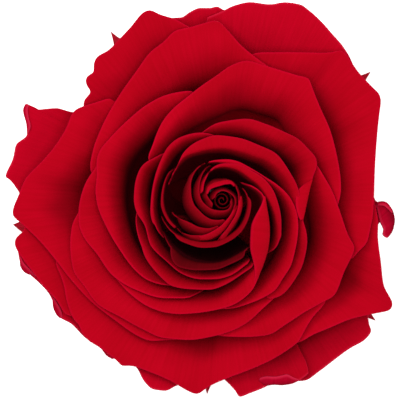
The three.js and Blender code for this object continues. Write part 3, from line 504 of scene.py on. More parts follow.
# A kind of petal: widest is the row, 1 at the top of the bowl, from which it has its whole width, and soft is
# in steps. A petal: its rim's drawn points, (azimuth, reach) pairs and the azimuth of its claw.
square_end = (0.8, 0.94)
guard_petal = dict(
    widest=1.0, claw_half_width=1.05, soft=1.0, ends=(square_end, square_end), thickness=0.3, columns=110,
    rows=36,
)
guard_petals = {
    "guard_petal_left": dict(
        rim=[(92, 106), (73, 111.5), (55, 107.5), (36, 109), (25.5, 103), (22, 109.5), (25.5, 125),
             (26, 134), (15, 144.5), (12, 158), (4.5, 176.5), (9, 180), (18.5, 193), (28, 210)],
        reach=[(140, 238), (186, 240)],
        claw=158,
    ),
    "guard_petal_top": dict(
        rim=[(148, 34), (160, 24), (172, 17), (181, 16.5), (190, 11), (200, 7), (210, 7), (217, 5.5),
             (224, 9), (238, 12)],
        reach=[(118, 228), (84, 228)],
        claw=112,
    ),
    "guard_petal_top_right": dict(
        rim=[(204, 18), (221, 11), (235, 4.5), (250, 1.3), (270, 3.5), (285, 1.5), (300, 3.5), (310, 10),
             (322, 21), (333, 33.5), (343, 45), (352, 60), (360, 84)],
        reach=[(96, 214), (39, 214)],
        claw=72,
    ),
    "guard_petal_right": dict(
        rim=[(366, 160), (372, 182), (375.5, 200), (378, 202), (382, 207), (384, 213), (383, 219),
             (379, 224), (374, 230), (368, 240)],
        reach=[(16, 190), (-18, 190), (-30, 206)],
        claw=2,
    ),
    "guard_petal_lower_right": dict(
        rim=[(376, 300), (369, 317), (370, 325), (372, 331), (366, 340), (350, 349.5), (337, 359),
             (320, 372), (305, 381.5), (298, 382), (285, 378)],
        reach=[(-32, 228), (-72, 228)],
        claw=-46,
    ),
    "guard_petal_bottom": dict(
        rim=[(312, 372), (298, 382), (290, 385), (280, 386), (272, 384.5), (265, 388), (250, 394),
             (240, 397.5), (235, 391), (224, 380), (214, 374)],
        reach=[(-61, 209), (-94, 209)],
        claw=-78,
    ),
    "guard_petal_bottom_left": dict(
        rim=[(112, 350), (124, 360), (136, 368), (144, 382), (153, 390), (165, 391.5), (178, 386),
             (190, 385), (202, 378)],
        reach=[(-128, 216), (-95, 216)],
        claw=-106,
    ),
    "guard_petal_lower_left": dict(
        rim=[(14, 236), (17, 252), (20, 266), (28, 274), (38, 283), (48, 294), (53.5, 305), (60, 318.5),
             (70, 324), (84, 338), (101, 350), (106, 356.5), (116, 362)],
        reach=[(188, 232), (238, 232)],
        claw=208,
    ),
}
# Painted shade: the two lower right guard petals take a darker copy that deepens from 3 mm inside the rim,
# and the others a lighter copy, painted light, with only faint painted shade towards the claw.
shaded_guard_dye = petal_dye(
    "guard_shade_crimson", (0.27, 0.0, 0.007), (0.20, 0.0, 0.004), (0.36, 0.006, 0.025), depth=(3, 9, 0.38)
)
lit_guard_dye = petal_dye(
    "lit_guard_crimson", (0.30, 0.0, 0.008), (0.24, 0.0, 0.005), (0.36, 0.006, 0.025), depth=(8, 20, 0.9)
)
guard_dyes = {"guard_petal_lower_right": shaded_guard_dye, "guard_petal_bottom": shaded_guard_dye}
for node, shape in guard_petals.items():
    piece = petal_piece(node, shape, guard_petal)
    piece.data.materials.append(guard_dyes.get(node, lit_guard_dye))
    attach(piece, "root")
    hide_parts(node)

FOLD_SOFTNESS, FOLD_END, FOLD_UV_WIDTH = 2.5, 6.0, 0.4
CURL_THICKNESS = 0.2


def folded_margin(name, fold, edge, lift, thickness, reach=None):
    """A petal's margin that is folded back over it: a quarter turn from the fold line up and over to the
    margin's edge, radius by 1 - cos and height by sin. fold and edge are drawn points, and the height of the
    fold is the crest's at the petal's reach, or at the fold's own radius, plus lift[0]; the edge stands
    lift[1] higher, less towards the two ends, where the lines meet."""
    along, across = 90, 20

    def even(line):
        line = np.array(line, float)
        length = np.concatenate([[0], np.cumsum(np.hypot(*np.diff(line, axis=0).T))])
        at = np.linspace(0, length[-1], along)
        x = softened(smooth_curve(length, line[:, 0], at), FOLD_SOFTNESS) - BUD_AT[0]
        y = BUD_AT[1] - softened(smooth_curve(length, line[:, 1], at), FOLD_SOFTNESS)
        return np.stack([x, y], axis=-1)

    fold_line, edge_line = even(fold), even(edge)
    u = np.linspace(0, 1, along)[:, None]
    v = np.linspace(0, 1, across)[None, :]
    place = fold_line[:, None] + (edge_line - fold_line)[:, None] * (1 - np.cos(np.pi / 2 * v))[..., None]
    outward = np.hypot(*fold_line.T) if reach is None else np.full(along, float(reach))
    base = table(CREST_HEIGHT, outward)[:, None] + lift[0]
    height = base + lift[1] * np.sin(np.pi * u) ** 0.6 * np.sin(np.pi / 2 * v)
    middle = in_bloom(place[..., 0] * STEP, place[..., 1] * STEP, height)
    width = np.linalg.norm(middle[:, -1] - middle[:, 0], axis=-1)[:, None]
    from_rim = width * (1 - v)
    from_margin = np.minimum(np.minimum(from_rim, width * v), FOLD_END * np.minimum(u, 1 - u))
    uv = np.stack([np.broadcast_to(u * FOLD_UV_WIDTH, from_rim.shape), from_rim / UV_LENGTH], axis=-1)
    return thin_leaf(name, middle, thickness, from_margin, uv, from_rim)


# Painted highlight and shade: the curled margins carry a pale pink painted highlight along their free edge,
# and painted shade from half a millimetre in towards the fold.
curl_highlight_and_shade = petal_dye(
    "curl_highlight_and_shade", (0.27, 0.0, 0.012), (0.15, 0.0, 0.004), (0.40, 0.012, 0.04), (0.5, 2.0, 0.55), sheen=0.05
)
guard_curls = {
    "guard_petal_right_hook": dict(
        petal="guard_petal_right",
        fold=[(376, 205), (378, 202), (384, 201.5), (390, 206), (393.5, 212), (395, 220), (393.5, 229),
              (391, 234), (387.5, 238)],
        edge=[(376, 206), (377.5, 210), (378.5, 216), (380, 222), (382.5, 227), (383.5, 230), (382.5, 234),
              (384, 236.5), (387, 238)],
        lift=(0.0, 0.5),
        reach=190,
    ),
    "guard_petal_right_curl": dict(
        petal="guard_petal_right",
        fold=[(378, 204), (380, 202), (385, 202), (390, 206), (393, 212)],
        edge=[(378, 206), (380, 205.5), (384, 206), (388, 209), (392, 213)],
        lift=(0.45, 0.4),
        reach=190,
    ),
    "guard_petal_bottom_curl": dict(
        petal="guard_petal_bottom",
        fold=[(259, 381), (267, 386), (274, 385), (282, 385.5), (290, 384), (300, 380.5)],
        edge=[(260, 378.5), (267, 376.5), (275, 377), (281, 376), (287, 374.5), (292, 377), (299, 380)],
        lift=(0.1, 0.6),
        reach=209,
    ),
    "guard_petal_left_curl": dict(
        petal="guard_petal_left",
        fold=[(27, 103.5), (23, 109), (24, 117), (27, 126), (27, 133)],
        edge=[(28, 105), (27, 110), (28, 117), (30, 126), (28, 132)],
        lift=(0.1, 0.5),
        reach=239,
    ),
    "guard_petal_lower_left_curl": dict(
        petal="guard_petal_lower_left",
        fold=[(19, 257), (19.5, 265), (24, 272.5), (31, 275.5), (36, 277)],
        edge=[(20, 257), (23, 263), (28, 268), (33, 273), (37, 276)],
        lift=(0.1, 0.5),
        reach=232,
    ),
    "guard_petal_lower_left_lower_curl": dict(
        petal="guard_petal_lower_left",
        fold=[(52, 298), (52.5, 306), (56, 315), (60, 319)],
        edge=[(53, 298), (57, 304), (61, 312), (62, 318)],
        lift=(-0.1, 0.6),
        reach=232,
    ),
}
for name, curl in guard_curls.items():
    piece = folded_margin(name, curl["fold"], curl["edge"], curl["lift"], CURL_THICKNESS, curl["reach"])
    piece.data.materials.append(curl_highlight_and_shade)
    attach(piece, "root")
    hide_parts(curl["petal"])

# Outer petals. The real pieces are six broad petals that have opened almost flat. They are thick and velvety,
# and grow from the hip one over the next, with softly rolled edges.
outer_petal = dict(guard_petal, soft=3.0, thickness=0.32, columns=130, rows=38)
outer_petals = {
    "outer_petal_left": dict(
        rim=[(112, 97), (90, 104), (80, 107), (73, 111.5), (66, 128), (54, 147), (40, 163), (25, 178.5),
             (18, 195), (12, 210), (11.5, 214), (22, 224.5), (40, 242), (56, 261), (70, 279), (90, 301),
             (113, 320.5), (140, 341), (150, 345), (178, 345), (190, 341), (200, 332)],
        reach=[(137, 158), (149, 172), (160, 176), (171, 190), (178, 204), (184, 207), (190, 197),
               (196, 187), (205, 177), (215, 172), (228, 173), (240, 169), (253, 162), (262, 162)],
        claw=186,
        ends=(square_end, (26.0, 0.95)),
    ),
    "outer_petal_upper_left": dict(
        rim=[(92, 132), (84, 112), (83, 102), (91, 91), (86.5, 86), (85, 79), (90, 73.5), (94, 72.5),
             (93, 66), (96, 57), (108, 50), (120, 37.5), (130, 27), (144, 11), (149, 9), (160, 14),
             (175, 18.5), (186, 25), (200, 30), (215, 34)],
        reach=[(153, 185), (146, 184), (138, 187), (126, 192), (112, 202), (102, 190), (91, 184)],
        claw=128,
    ),
    "outer_petal_right": dict(
        rim=[(232, 60), (245, 56), (262, 52), (290, 52), (325, 52.5), (335, 51.5), (341, 49.5), (344, 51),
             (350, 59), (359, 72), (372, 86), (381, 96), (381.5, 102), (380, 112), (377, 140), (375, 170),
             (374, 200), (373, 215), (370, 230), (367, 243), (360, 250), (350, 262)],
        reach=[(90, 184), (82, 176), (75, 170), (65, 171), (55, 182), (50, 190), (40, 190), (33, 189),
               (26, 176), (15, 162), (5, 155), (-10, 154), (-20, 153), (-28, 153)],
        claw=30,
    ),
    "outer_petal_lower_right": dict(
        rim=[(370, 176), (372, 190), (375, 203), (377, 213), (378.5, 222), (378, 235), (379, 247),
             (381, 260), (384, 285), (389, 295), (393, 302), (393.5, 306), (390, 311), (383, 312.5),
             (372, 314.5), (352, 319), (330, 328), (310, 336.5), (303, 341), (290, 345), (275, 350)],
        reach=[(12, 168), (0, 167), (-10, 167), (-20, 173), (-28, 186), (-33, 194), (-42, 181), (-52, 175),
               (-62, 173), (-72, 177)],
        claw=-24,
    ),
    "outer_petal_bottom": dict(
        rim=[(62, 250), (55, 262), (60, 275), (64, 288), (66, 300), (69, 310), (74, 321), (79, 325),
             (80.5, 331), (88, 341), (100, 348), (109, 355.5), (118, 362), (121.5, 367), (128, 366),
             (150, 372.5), (170, 381), (190, 392.5), (197, 395), (207, 388), (224, 380), (250, 370),
             (270, 361), (285, 352), (299, 341), (305, 330), (313, 317), (325, 303), (330, 288)],
        reach=[(194, 198), (200, 195), (210, 192), (220, 192), (230, 193), (240, 190), (250, 187),
               (258, 192), (264, 192), (268, 184), (275, 178), (290, 168), (300, 163), (308, 158),
               (315, 153), (325, 153)],
        claw=262,
    ),
    "outer_petal_lower_left": dict(
        rim=[(22, 205), (24, 229), (15, 238), (13.5, 243), (16, 250), (25, 263), (35, 276), (44, 288),
             (51, 295), (57, 302), (62, 311), (64, 314), (75, 318)],
        reach=[(176, 220), (184, 219), (192, 215), (200, 211), (212, 208), (222, 207)],
        claw=226,
    ),
}
# Painted highlight and shade: a thin lighter rim line as painted highlight, and painted shade towards the
# claw, strong in the copy for the outer petals under their neighbours' rims and faint in the common petal
# colour.
crimson, crimson_rim_highlight = (0.27, 0.0, 0.006), (0.31, 0.0, 0.012)
petal_crimson = petal_dye("petal_crimson", crimson, (0.22, 0.0, 0.0035), crimson_rim_highlight, depth=(5, 14, 0.9))
outer_shade_crimson = petal_dye("outer_shade_crimson", crimson, (0.22, 0.0, 0.0035), crimson_rim_highlight, depth=(4, 10, 0.68))
for node, shape in outer_petals.items():
    piece = petal_piece(node, shape, outer_petal)
    piece.data.materials.append(petal_crimson if node == "outer_petal_right" else outer_shade_crimson)
    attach(piece, "root")
    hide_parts(node)

# Broad petals. The real pieces are three large petals that stand up behind the cup and roll over at the top.
# They are as thick as the outer ones, and each wraps a third of the bloom.
broad_petals = {
    "broad_petal_top": dict(
        rim=[(93, 177), (90, 168), (93, 150), (99, 133), (106, 118), (120, 94), (137, 70), (150, 52),
             (163, 42), (176, 30), (192, 26.5), (205, 22.5), (216, 20), (226, 28), (240, 44), (258, 59),
             (270, 67.5), (285, 80), (296, 92)],
        reach=[(174, 149), (168, 144), (158, 142), (151, 143), (134, 149), (116, 163), (100, 174),
               (90, 172), (80, 157), (74, 150), (66, 151), (56, 157)],
        claw=118,
    ),
    "broad_petal_lower_left": dict(
        rim=[(84, 202), (78, 213), (72, 225), (70, 245), (73, 270), (84, 286), (97, 304), (120, 317),
             (142, 329), (163, 338), (190, 340), (210, 337), (230, 331.5), (248, 322), (262, 309),
             (278, 294), (288, 282)],
        reach=[(180, 151), (187, 153), (196, 159), (210, 163), (228, 156.5), (246, 150), (258, 144),
               (273, 134), (290, 121), (302, 119), (312, 119)],
        claw=244,
    ),
    "broad_petal_right": dict(
        rim=[(306, 152), (318, 167), (323, 175), (333, 193), (340, 212), (348, 235), (355, 249),
             (353, 254), (345, 270), (334, 296), (325, 301), (305, 312), (285, 325), (268, 335),
             (245, 337), (225, 336.5), (205, 332), (185, 326)],
        reach=[(31, 109), (19, 108), (4, 113), (-6, 120), (-16, 131), (-28, 141), (-45, 144), (-63, 142),
               (-80, 141), (-90, 145), (-100, 153), (-108, 155.5)],
        claw=-42,
    ),
}
for node, shape in broad_petals.items():
    piece = petal_piece(node, shape, outer_petal)
    piece.data.materials.append(petal_crimson)
    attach(piece, "root")
    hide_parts(node)

# Cup petals. The real pieces are four petals that make the main cup round the heart. They stand steeper than
# the broad ones, and their rims flare outward all round.
cup_petal = dict(outer_petal, thickness=0.28)
cup_petals = {
    "cup_petal_upper_left": dict(
        rim=[(196, 91.5), (190, 91), (168, 94.5), (148, 104), (128, 120), (110, 138), (99, 152), (97, 158),
             (96.5, 163), (97, 175), (95.5, 190), (97, 203), (108, 230), (120, 250), (135, 270),
             (150, 281), (168, 285), (185, 284), (200, 280)],
        reach=[(102, 124), (108, 121.5), (117, 121), (128, 123), (140, 125), (152, 130), (161, 131),
               (168, 129), (181, 125), (195, 122), (206, 121.5), (219, 120.5), (228, 118.5), (238, 113.5),
               (246, 107.5), (255, 104)],
        claw=174,
    ),
    "cup_petal_left": dict(
        rim=[(100, 160), (96, 167), (86, 182), (80, 200), (78.5, 210), (78.5, 222), (83, 236), (97, 254),
             (112, 275), (134, 289), (165, 298), (185, 298), (200, 292), (206, 289)],
        reach=[(158, 136.5), (168, 135.5), (174, 139), (180, 143), (188, 145.5), (195, 144), (204, 142),
               (214, 138.5), (226, 132.5), (240, 123), (250, 115), (262, 110)],
        claw=212,
    ),
    "cup_petal_right": dict(
        rim=[(146, 170), (146, 158), (150, 152), (157, 133), (163, 121), (173, 109), (190, 95), (200, 87),
             (216, 76), (232, 65), (247, 60.5), (260, 64), (280, 70), (300, 76), (309, 78), (311, 84),
             (320, 107), (330, 130), (337, 157), (340.5, 178), (341, 190), (338, 204), (334, 216)],
        reach=[(160, 95), (150, 91), (134, 93), (118, 101), (108, 106), (93, 118), (85, 130), (78, 138),
               (66, 142), (55, 148), (48, 141), (40, 133), (26, 128), (10, 126), (0, 123), (-8, 130)],
        claw=72,
        ends=(square_end, (4.0, 0.85)),
    ),
    "cup_petal_bottom": dict(
        rim=[(108, 268), (118, 281), (128, 292), (150, 307.5), (168, 313), (180, 314), (200, 312.5),
             (230, 306), (245, 297), (254, 287), (258, 277), (264, 262), (268, 240), (268, 230),
             (265, 207), (264, 196), (258, 190), (252, 186), (245, 184.5), (240, 182)],
        reach=[(210, 148), (218, 145), (224, 142), (236, 136.5), (245, 127.5), (259, 117), (267, 111),
               (274, 103), (283, 94.5), (290, 87), (300, 78.5), (311, 70), (327, 56), (345, 46), (365, 42),
               (385, 33), (405, 27)],
        claw=296,
    ),
}
# Painted shade: the left cup petals take a copy that darkens strongly from 4 mm inside the rim, for the dark
# gaps under their neighbours.
cup_shade_crimson = petal_dye("cup_shade_crimson", crimson, (0.21, 0.0, 0.0035), crimson_rim_highlight, depth=(4, 10.5, 0.22))
for node, shape in cup_petals.items():
    piece = petal_piece(node, shape, cup_petal)
    piece.data.materials.append(cup_shade_crimson if node.endswith("left") else petal_crimson)
    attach(piece, "root")
    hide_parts(node)

# The free edge of the cup's bottom petal is folded back towards the heart in one long blade.
fold = folded_margin(
    "cup_petal_bottom_fold",
    fold=[(264.5, 196), (266, 207), (268, 219), (269, 230), (268.5, 241), (266.5, 252), (263.5, 262),
          (260, 271), (256.5, 280), (253, 287)],
    edge=[(263.5, 195.5), (261.5, 203), (258, 210), (254, 217), (250.5, 226), (249.8, 236), (249.5, 247),
          (252, 258), (254, 267), (254.5, 276), (252, 287.5)],
    lift=(-0.3, 1.5),
    thickness=0.26,
)
fold.data.materials.append(petal_crimson)
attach(fold, "root")

# Middle and heart petals. The real pieces are eight petals inside the cup, each wrapping the next one. They
# stand nearly upright, so that light falls only on their rims.
heart_petal = dict(outer_petal, thickness=0.24, columns=120, rows=36)
middle_petals = {
    "middle_petal_right": dict(
        rim=[(190, 140), (198, 136), (207, 129), (215, 124), (225, 121.5), (247, 119), (265, 124),
             (285, 132.5), (298, 139), (309, 150), (316.5, 159.5), (317, 165), (313, 176), (308, 195),
             (302.5, 219), (306, 231), (307, 240), (303, 263), (295, 279), (280, 296), (266, 300)],
        reach=[(120, 80), (108, 78), (95, 78.5), (88, 80), (73, 83), (60, 85), (47, 88.5), (38, 95),
               (23, 102.5), (15, 95), (3, 88.5), (-8, 87), (-14, 88), (-22, 92), (-38, 104.5), (-53, 112),
               (-59, 113.5), (-68, 115)],
        claw=26,
    ),
    "middle_petal_upper_left": dict(
        rim=[(158.5, 242), (157, 235), (150.5, 212), (151.5, 196), (155, 177), (161, 160), (168, 147),
             (181, 137), (200, 132.8), (210, 134), (222, 141)],
        reach=[(216, 76), (200, 74), (189, 73), (177, 72), (161, 72), (147, 74), (135, 76.5), (123, 76),
               (108, 72), (98, 70.5), (88, 70.5)],
        claw=172,
        ends=(square_end, (4.0, 0.85)),
    ),
    "middle_petal_top": dict(
        rim=[(172, 186), (171.5, 178), (178, 166), (182, 155), (193, 144), (201, 140), (215, 135.5),
             (238, 138), (260, 146), (275, 153), (280, 158), (290, 173), (297, 186), (300, 197),
             (301, 209), (299, 220)],
        reach=[(165, 57), (156, 57.5), (142, 59.5), (131, 60), (117, 57), (96, 55), (75, 55), (55, 58),
               (42, 64), (28, 69.5), (14, 74.5), (2, 78), (-8, 80), (-15, 82.2)],
        claw=96,
    ),
    "middle_petal_left": dict(
        rim=[(174, 146), (166, 150), (158, 156), (145, 163), (140, 169), (135, 185), (134, 200),
             (137, 213), (145, 225), (148, 236), (149.5, 243), (168, 262), (182, 273.5), (200, 279),
             (215, 279), (230, 275.5), (246, 264.5), (251, 261)],
        reach=[(130, 84), (138, 82), (146, 82.5), (152, 86), (160, 90), (180, 89), (190, 86), (198, 85),
               (206, 87), (220, 88), (240, 88.5), (255, 85.5), (265, 82), (276, 78), (290, 70.5),
               (298, 69)],
        claw=204,
        ends=((4.0, 0.85), square_end),
    ),
    "middle_petal_lower_left": dict(
        rim=[(140, 190), (132, 203), (127, 216), (132.6, 233), (145.4, 258), (163, 279), (172, 286),
             (190, 289), (210, 289.5), (226, 284), (243, 273), (255, 265)],
        reach=[(172, 98), (190, 98), (210, 96.5), (225, 100), (240, 100.5), (250, 97.5), (262, 94),
               (272, 86), (280, 82), (292, 76.5), (298, 75)],
        claw=238,
        ends=((15.0, 0.74), square_end),
    ),
    "heart_petal_right": dict(
        rim=[(207.5, 163), (210, 161), (228, 159.5), (236, 161), (252, 169), (268, 179), (276, 184),
             (290, 198), (297, 215), (298, 226), (292, 262), (281, 281), (276, 289), (266, 296),
             (250, 303), (230, 308.5), (212, 309)],
        reach=[(120, 41.5), (108, 40.5), (95, 39), (82, 38), (70, 38.5), (58, 40), (46, 43), (34, 47.5),
               (24, 51.5), (16, 57), (2, 68), (-11, 77), (-30, 87), (-42, 94.5), (-54, 102), (-66, 107),
               (-75, 111), (-86, 117), (-96, 121)],
        claw=0,
        ends=(square_end, (0.5, 0.98)),
    ),
    "heart_petal_top": dict(
        rim=[(203, 195), (204, 184), (207, 176), (210, 170), (215, 166), (222, 163.5), (236, 163.5),
             (250, 170), (264, 179), (275, 195), (281, 222), (281, 235), (275, 258), (268, 262)],
        reach=[(166, 19.2), (138, 24), (122, 27.8), (112, 31), (102, 33), (90, 33.8), (79, 34.3),
               (69, 34.8), (57, 35.3), (47, 35.8), (36, 37), (27, 39.5), (15, 43), (5, 46.5), (-3, 50.5),
               (-20, 61), (-31, 69), (-40, 75.5), (-52, 80.5)],
        claw=84,
        ends=((6.0, 0.8), square_end),
    ),
    "heart_petal_bottom": dict(
        rim=[(151, 238), (157, 249), (165, 258.5), (174, 265), (185, 268.5), (195, 270), (215, 269.5),
             (230, 264), (248, 253), (250, 246)],
        reach=[(205, 73), (218, 72.5), (230, 72.5), (242, 71.5), (257, 68), (270, 64.5), (287, 59),
               (302, 56)],
        claw=262,
        ends=((8.0, 0.78), (3.0, 0.88)),
    ),
}
# Painted shade: the middle petals take a darker copy that deepens towards the claw, and the bottom heart
# petal, deep in the bloom, is painted nearly black; the right heart petal keeps the common colour.
heart_shade_crimson = petal_dye(
    "heart_shade_crimson", (0.24, 0.0, 0.005), (0.19, 0.0, 0.003), (0.26, 0.0, 0.010), depth=(2.5, 9, 0.4)
)
bottom_shade_crimson = petal_dye(
    "bottom_shade_crimson", (0.07, 0.0, 0.0015), (0.045, 0.0, 0.001), (0.12, 0.0, 0.004), depth=(0.3, 3, 0.1)
)
middle_dyes = {"heart_petal_bottom": bottom_shade_crimson, "heart_petal_right": petal_crimson}
for node, shape in middle_petals.items():
    piece = petal_piece(node, shape, heart_petal)
    piece.data.materials.append(middle_dyes.get(node, heart_shade_crimson))
    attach(piece, "root")
    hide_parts(node)

# The free edge of the right petal is folded in over its neighbours, in a short pinched blade.
fold = folded_margin(
    "middle_petal_right_fold",
    fold=[(312, 179), (310, 186), (308.5, 192), (307, 199), (305.5, 206), (304, 213), (302.5, 219.5)],
    edge=[(306, 183), (300.5, 187), (297, 190.5), (295, 197), (295, 204), (296.5, 212), (299.5, 220)],
    lift=(0.0, 0.9),
    thickness=0.22,
)
fold.data.materials.append(petal_crimson)
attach(fold, "root")

# Bud petals. The real pieces are the eight innermost petals, still rolled round one another as in the bud.
# They are the thinnest, and lean in over the middle, so that their outsides show as a spiral of rims.
CORE_START, CORE_END, CORE_UV_WIDTH = 100, 4.0, 0.3
BUD_FOLD_THICKNESS = 0.18


def rolled_core(name, turns, inner, outer, top, droop, bottom, bulge, thickness):
    """The innermost petal as a rolled sheet. Its rim winds outward from radius inner to outer in even steps
    of angle, at a height that falls by droop with the square of the way. Below the rim the sheet bulges
    outward by bulge on a half sine and runs down to the height bottom, where it narrows to two thirds."""
    along, down = 150, 24
    u = np.linspace(0, 1, along)[:, None]
    v = np.linspace(1, 0, down)[None, :]
    angle = np.radians(CORE_START) - 2 * np.pi * turns * (1 - u)
    radius = (inner + (outer - inner) * u) * (1 - v**2 / 3) + bulge * np.sin(np.pi * v) * (0.4 + 0.6 * u)
    rim_height = top - droop * u**2
    height = rim_height + (bottom - rim_height) * (1 - np.cos(np.pi / 2 * v))
    middle = np.stack([BUD_X + radius * np.cos(angle), BUD_Y + radius * np.sin(angle), height], axis=-1)
    from_rim = np.linalg.norm(middle - middle[:, -1:], axis=-1)
    from_margin = np.minimum(from_rim, CORE_END * np.minimum(u, 1 - u))
    uv = np.stack([np.broadcast_to(u * CORE_UV_WIDTH, from_rim.shape), from_rim / UV_LENGTH], axis=-1)
    return thin_leaf(name, middle, thickness, from_margin, uv, from_rim)


# Painted shade: the rolled core is painted nearly black, darkest from a fraction of a millimetre below its
# rim, for the shade deep in the heart.
core_shade_crimson = petal_dye(
    "core_shade_crimson", (0.09, 0.0, 0.0015), (0.065, 0.0, 0.001), (0.15, 0.0, 0.004), depth=(0.15, 2.5, 0.2)
)
core = rolled_core(
    "bud_petal_1_blade", turns=2.3, inner=0.15, outer=1.75, top=40.6, droop=1.2, bottom=19.0, bulge=0.5,
    thickness=0.16,
)
core.data.materials.append(core_shade_crimson)
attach(core, "root")
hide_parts("bud_petal_1")

soft_end = (0.6, 0.95)
bud_petal = dict(
    widest=1.5, claw_half_width=0.6, soft=1.2, ends=(soft_end, soft_end), thickness=0.2, columns=90, rows=34
)
bud_petals = {
    "bud_petal_2": dict(
        rim=[(215, 200), (215.5, 196), (218, 192.5), (222, 191), (227, 192), (231, 194.5), (234, 198),
             (234.5, 203), (233, 209), (230, 215), (226, 220), (220, 226), (214, 230), (206, 234),
             (200, 235.5), (193.5, 236)],
        reach=[(182, 7), (148, 7.6), (118, 8.5), (90, 9), (58, 9.4), (31, 10.5), (9, 12.2), (-14, 12.9),
               (-39, 14.2), (-62, 17), (-79, 20.8), (-94, 27.5), (-105, 33), (-115, 37), (-122, 41),
               (-130, 45.5)],
        claw=10,
    ),
    "bud_petal_3": dict(
        rim=[(228, 199), (230.5, 204), (227, 209.5), (222, 210.5), (216, 210), (211, 208.5), (206, 205),
             (202, 200.5), (200, 195), (199.5, 190), (201.5, 178), (207.5, 167.5), (212, 163.5)],
        reach=[(370, 7.5), (335, 9.3), (298, 10.6), (270, 10.6), (239, 12.3), (218, 14), (197, 16.8),
               (181, 20), (167, 22.8), (156, 24.8), (144, 27.3), (133, 30), (123, 33), (113, 36),
               (100, 38)],
        claw=226,
        ends=((5.0, 0.85), soft_end),
    ),
    "bud_petal_4": dict(
        rim=[(214.5, 206), (211, 201), (208, 197), (206.5, 193), (209, 187), (213, 184.5), (220, 182),
             (226, 180.5), (232, 182), (235, 186), (238, 197), (238, 203), (235, 215), (227, 228),
             (222, 234), (217, 240)],
        reach=[(220, 9.6), (185, 11), (168, 14.3), (156, 16), (135, 17.8), (120, 17.9), (96, 18.1),
               (78, 19.6), (61, 20.2), (47, 19.1), (31, 17.5), (10, 16.5), (-10, 16.6), (-28, 17.5),
               (-49, 20), (-64, 23.3), (-80, 28.4), (-90, 34), (-98, 40)],
        claw=62,
    ),
    "bud_petal_5": dict(
        rim=[(225.5, 217.5), (222, 219.3), (219, 219.8), (213, 219.5), (206, 216.5), (200, 211),
             (194, 204), (191.5, 195), (191, 185), (195, 172), (200, 167), (205, 162.5)],
        reach=[(281, 18.5), (268, 20), (245, 21.5), (226, 23), (207, 25), (188, 28.3), (171, 31),
               (154, 34.5), (144, 37), (134, 38.8), (124, 40.4), (114, 41.4), (103, 41.4)],
        claw=176,
        ends=((4.0, 0.88), soft_end),
    ),
    "bud_petal_6": dict(
        rim=[(175, 211), (178, 216), (187, 220.5), (200, 227), (208, 228), (214.5, 226.6), (219.5, 224)],
        reach=[(187, 50), (197, 48), (203, 45), (211, 41), (219, 38.5), (231, 35), (244, 31.5),
               (254, 27.5), (258, 26), (266, 24)],
        claw=236,
        ends=((4.0, 0.88), soft_end),
    ),
    "bud_petal_7": dict(
        rim=[(176, 168), (170, 172), (165, 180), (161.5, 195), (161, 204), (163, 212), (171, 225),
             (186, 234), (193, 235), (199, 235), (204, 233.5)],
        reach=[(144, 62), (155, 62), (168, 61.5), (184, 61), (199, 58.5), (214, 53.5), (223, 50),
               (230.4, 46.5), (242, 42)],
        claw=212,
    ),
    "bud_petal_8": dict(
        rim=[(158.5, 209), (159.5, 217), (165, 229), (172, 236), (182, 241.5), (203, 247.5), (213, 247),
             (230, 240.5), (243, 229), (250, 212), (251, 204), (250, 198), (243, 187)],
        reach=[(183, 67), (191, 66.5), (207, 63), (216, 60), (226, 55.5), (237, 51), (248, 47),
               (259, 43.5), (270, 40.5), (285, 36), (300, 33), (320, 29.5), (337, 27.5), (352, 26.5),
               (375, 25), (392, 23.5)],
        claw=300,
        ends=((8.0, 0.8), (3.0, 0.9)),
    ),
}
# Painted shade: the bud petals take a darker copy of the crimson, deepening towards the claw, for the shade
# that fills the heart.
bud_shade_crimson = petal_dye(
    "bud_shade_crimson", (0.15, 0.0, 0.003), (0.115, 0.0, 0.002), (0.17, 0.0, 0.005), depth=(1.0, 7, 0.4)
)
for node, shape in bud_petals.items():
    piece = petal_piece(node, shape, bud_petal)
    piece.data.materials.append(bud_shade_crimson)
    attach(piece, "root")
    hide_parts(node)

# Two of the bud's petals turn their margins back, and these catch the light as paler lines of the spiral.
bud_folds = {
    "bud_petal_2_fold": dict(
        fold=[(237.5, 205), (236, 212), (232.5, 219), (228, 225.5), (222.5, 231.5), (216, 236),
              (208, 239.5), (200, 240), (195, 238)],
        edge=[(233.8, 205), (232.2, 210.5), (229.5, 215.5), (226, 220), (220, 226), (214, 230), (206, 234),
              (200, 235.5), (193.5, 236)],
        lift=(-0.7, 1.7),
    ),
    "bud_petal_4_fold": dict(
        fold=[(241, 196), (242, 204), (240.5, 212), (237, 219.5), (232.5, 226.5), (228, 233), (224, 240)],
        edge=[(237.6, 196), (238, 203), (235.5, 214), (231.5, 221), (227, 228), (222, 234),
              (217.5, 239.5)],
        lift=(-0.6, 1.5),
    ),
    "bud_petal_4_tip": dict(
        fold=[(206.3, 194), (208.3, 187), (213, 183.8), (220, 181.6), (226, 180.4), (231, 181.2),
              (234.5, 185.5)],
        edge=[(208, 194), (209.8, 190), (214, 187.8), (219.5, 186.2), (225, 184.6), (230.5, 184.2),
              (233.8, 187)],
        lift=(0.4, 0.4),
    ),
}
# Painted highlight: the turned margins take the lighter heart colour, so that they stand out paler than the
# darker bud.
for name, shape in bud_folds.items():
    fold = folded_margin(name, shape["fold"], shape["edge"], shape["lift"], BUD_FOLD_THICKNESS)
    fold.data.materials.append(heart_shade_crimson)
    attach(fold, "root")

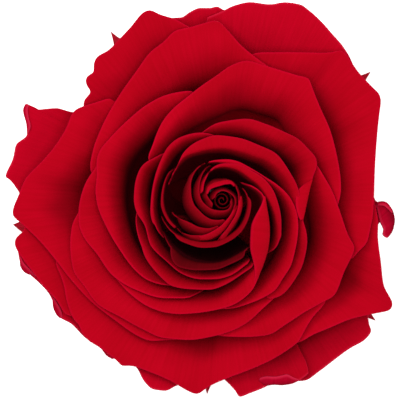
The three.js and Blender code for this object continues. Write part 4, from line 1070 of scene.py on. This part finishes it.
# Surface. A plain white sheet of matt board that the head lies on, far wider than the picture.
BOARD_HALF = 4
floor_mesh = bpy.data.meshes.new("white_board")
corners = [(x * BOARD_HALF, y * BOARD_HALF, 0) for x, y in ((-1, -1), (1, -1), (1, 1), (-1, 1))]
floor_mesh.from_pydata(corners, [], [(0, 1, 2, 3)])
floor = bpy.data.objects.new("white_board", floor_mesh)
bpy.context.scene.collection.objects.link(floor)
board_white, shader = new_material("board_white", roughness=0.9, specular=0.1)
shader.inputs["Base Color"].default_value = (0.9, 0.9, 0.9, 1)
shader.inputs["Emission Color"].default_value = (1, 1, 1, 1)
shader.inputs["Emission Strength"].default_value = 0.5
floor_mesh.materials.append(board_white)

# Studio light: a soft box straight above, one to the upper left, a weak one from the right, and a pale even
# surround. Each box has a name, a place, a width and a power, and faces the bloom.
LIT_PLACE = (0, 0, 0.02)
lights = [
    ("top_box", (0.005, 0.0, 0.52), 0.25, 2.0),
    ("key_box", (-0.177, 0.177, 0.45), 0.25, 1.6),
    ("fill_box", (0.85, 0.0, 0.85), 0.6, 2.6),
]
for name, at, width, power in lights:
    lamp = bpy.data.lights.new(name, "AREA")
    lamp.shape = "DISK"
    lamp.size = width
    lamp.energy = power
    box = bpy.data.objects.new(name, lamp)
    box.location = at
    box.rotation_mode = "QUATERNION"
    aim = np.array(LIT_PLACE) - np.array(at)
    box.rotation_quaternion = mathutils.Vector(aim).to_track_quat("-Z", "Y")
    box.visible_camera = False
    bpy.context.scene.collection.objects.link(box)

surround = bpy.data.worlds.new("pale_surround")
surround.use_nodes = True
surround.node_tree.nodes["Background"].inputs["Color"].default_value = (1, 1, 1, 1)
surround.node_tree.nodes["Background"].inputs["Strength"].default_value = 0.65
bpy.context.scene.world = surround

# Camera: straight above the bloom with a long lens, the top of the picture towards +Y.
PICTURE_SIDE = 400
VIEW_CENTRE = ((PICTURE_SIDE / 2 - STEM_AT[0]) * STEP * MM, (STEM_AT[1] - PICTURE_SIDE / 2) * STEP * MM)
VIEW_WIDTH = PICTURE_SIDE * STEP * MM
FOCUS_HEIGHT = 0.030
CAMERA_HEIGHT = 1.8
SENSOR_WIDTH = 36
lens = bpy.data.cameras.new("camera")
lens.type = "PERSP"
lens.sensor_width = SENSOR_WIDTH
lens.lens = SENSOR_WIDTH * (CAMERA_HEIGHT - FOCUS_HEIGHT) / VIEW_WIDTH
lens.clip_start = 0.1
lens.clip_end = 20
camera = bpy.data.objects.new("camera", lens)
camera.location = (*VIEW_CENTRE, CAMERA_HEIGHT)
bpy.context.scene.collection.objects.link(camera)
bpy.context.scene.camera = camera
bpy.context.scene.view_settings.view_transform = "Standard"
bpy.context.scene.view_settings.look = "None"
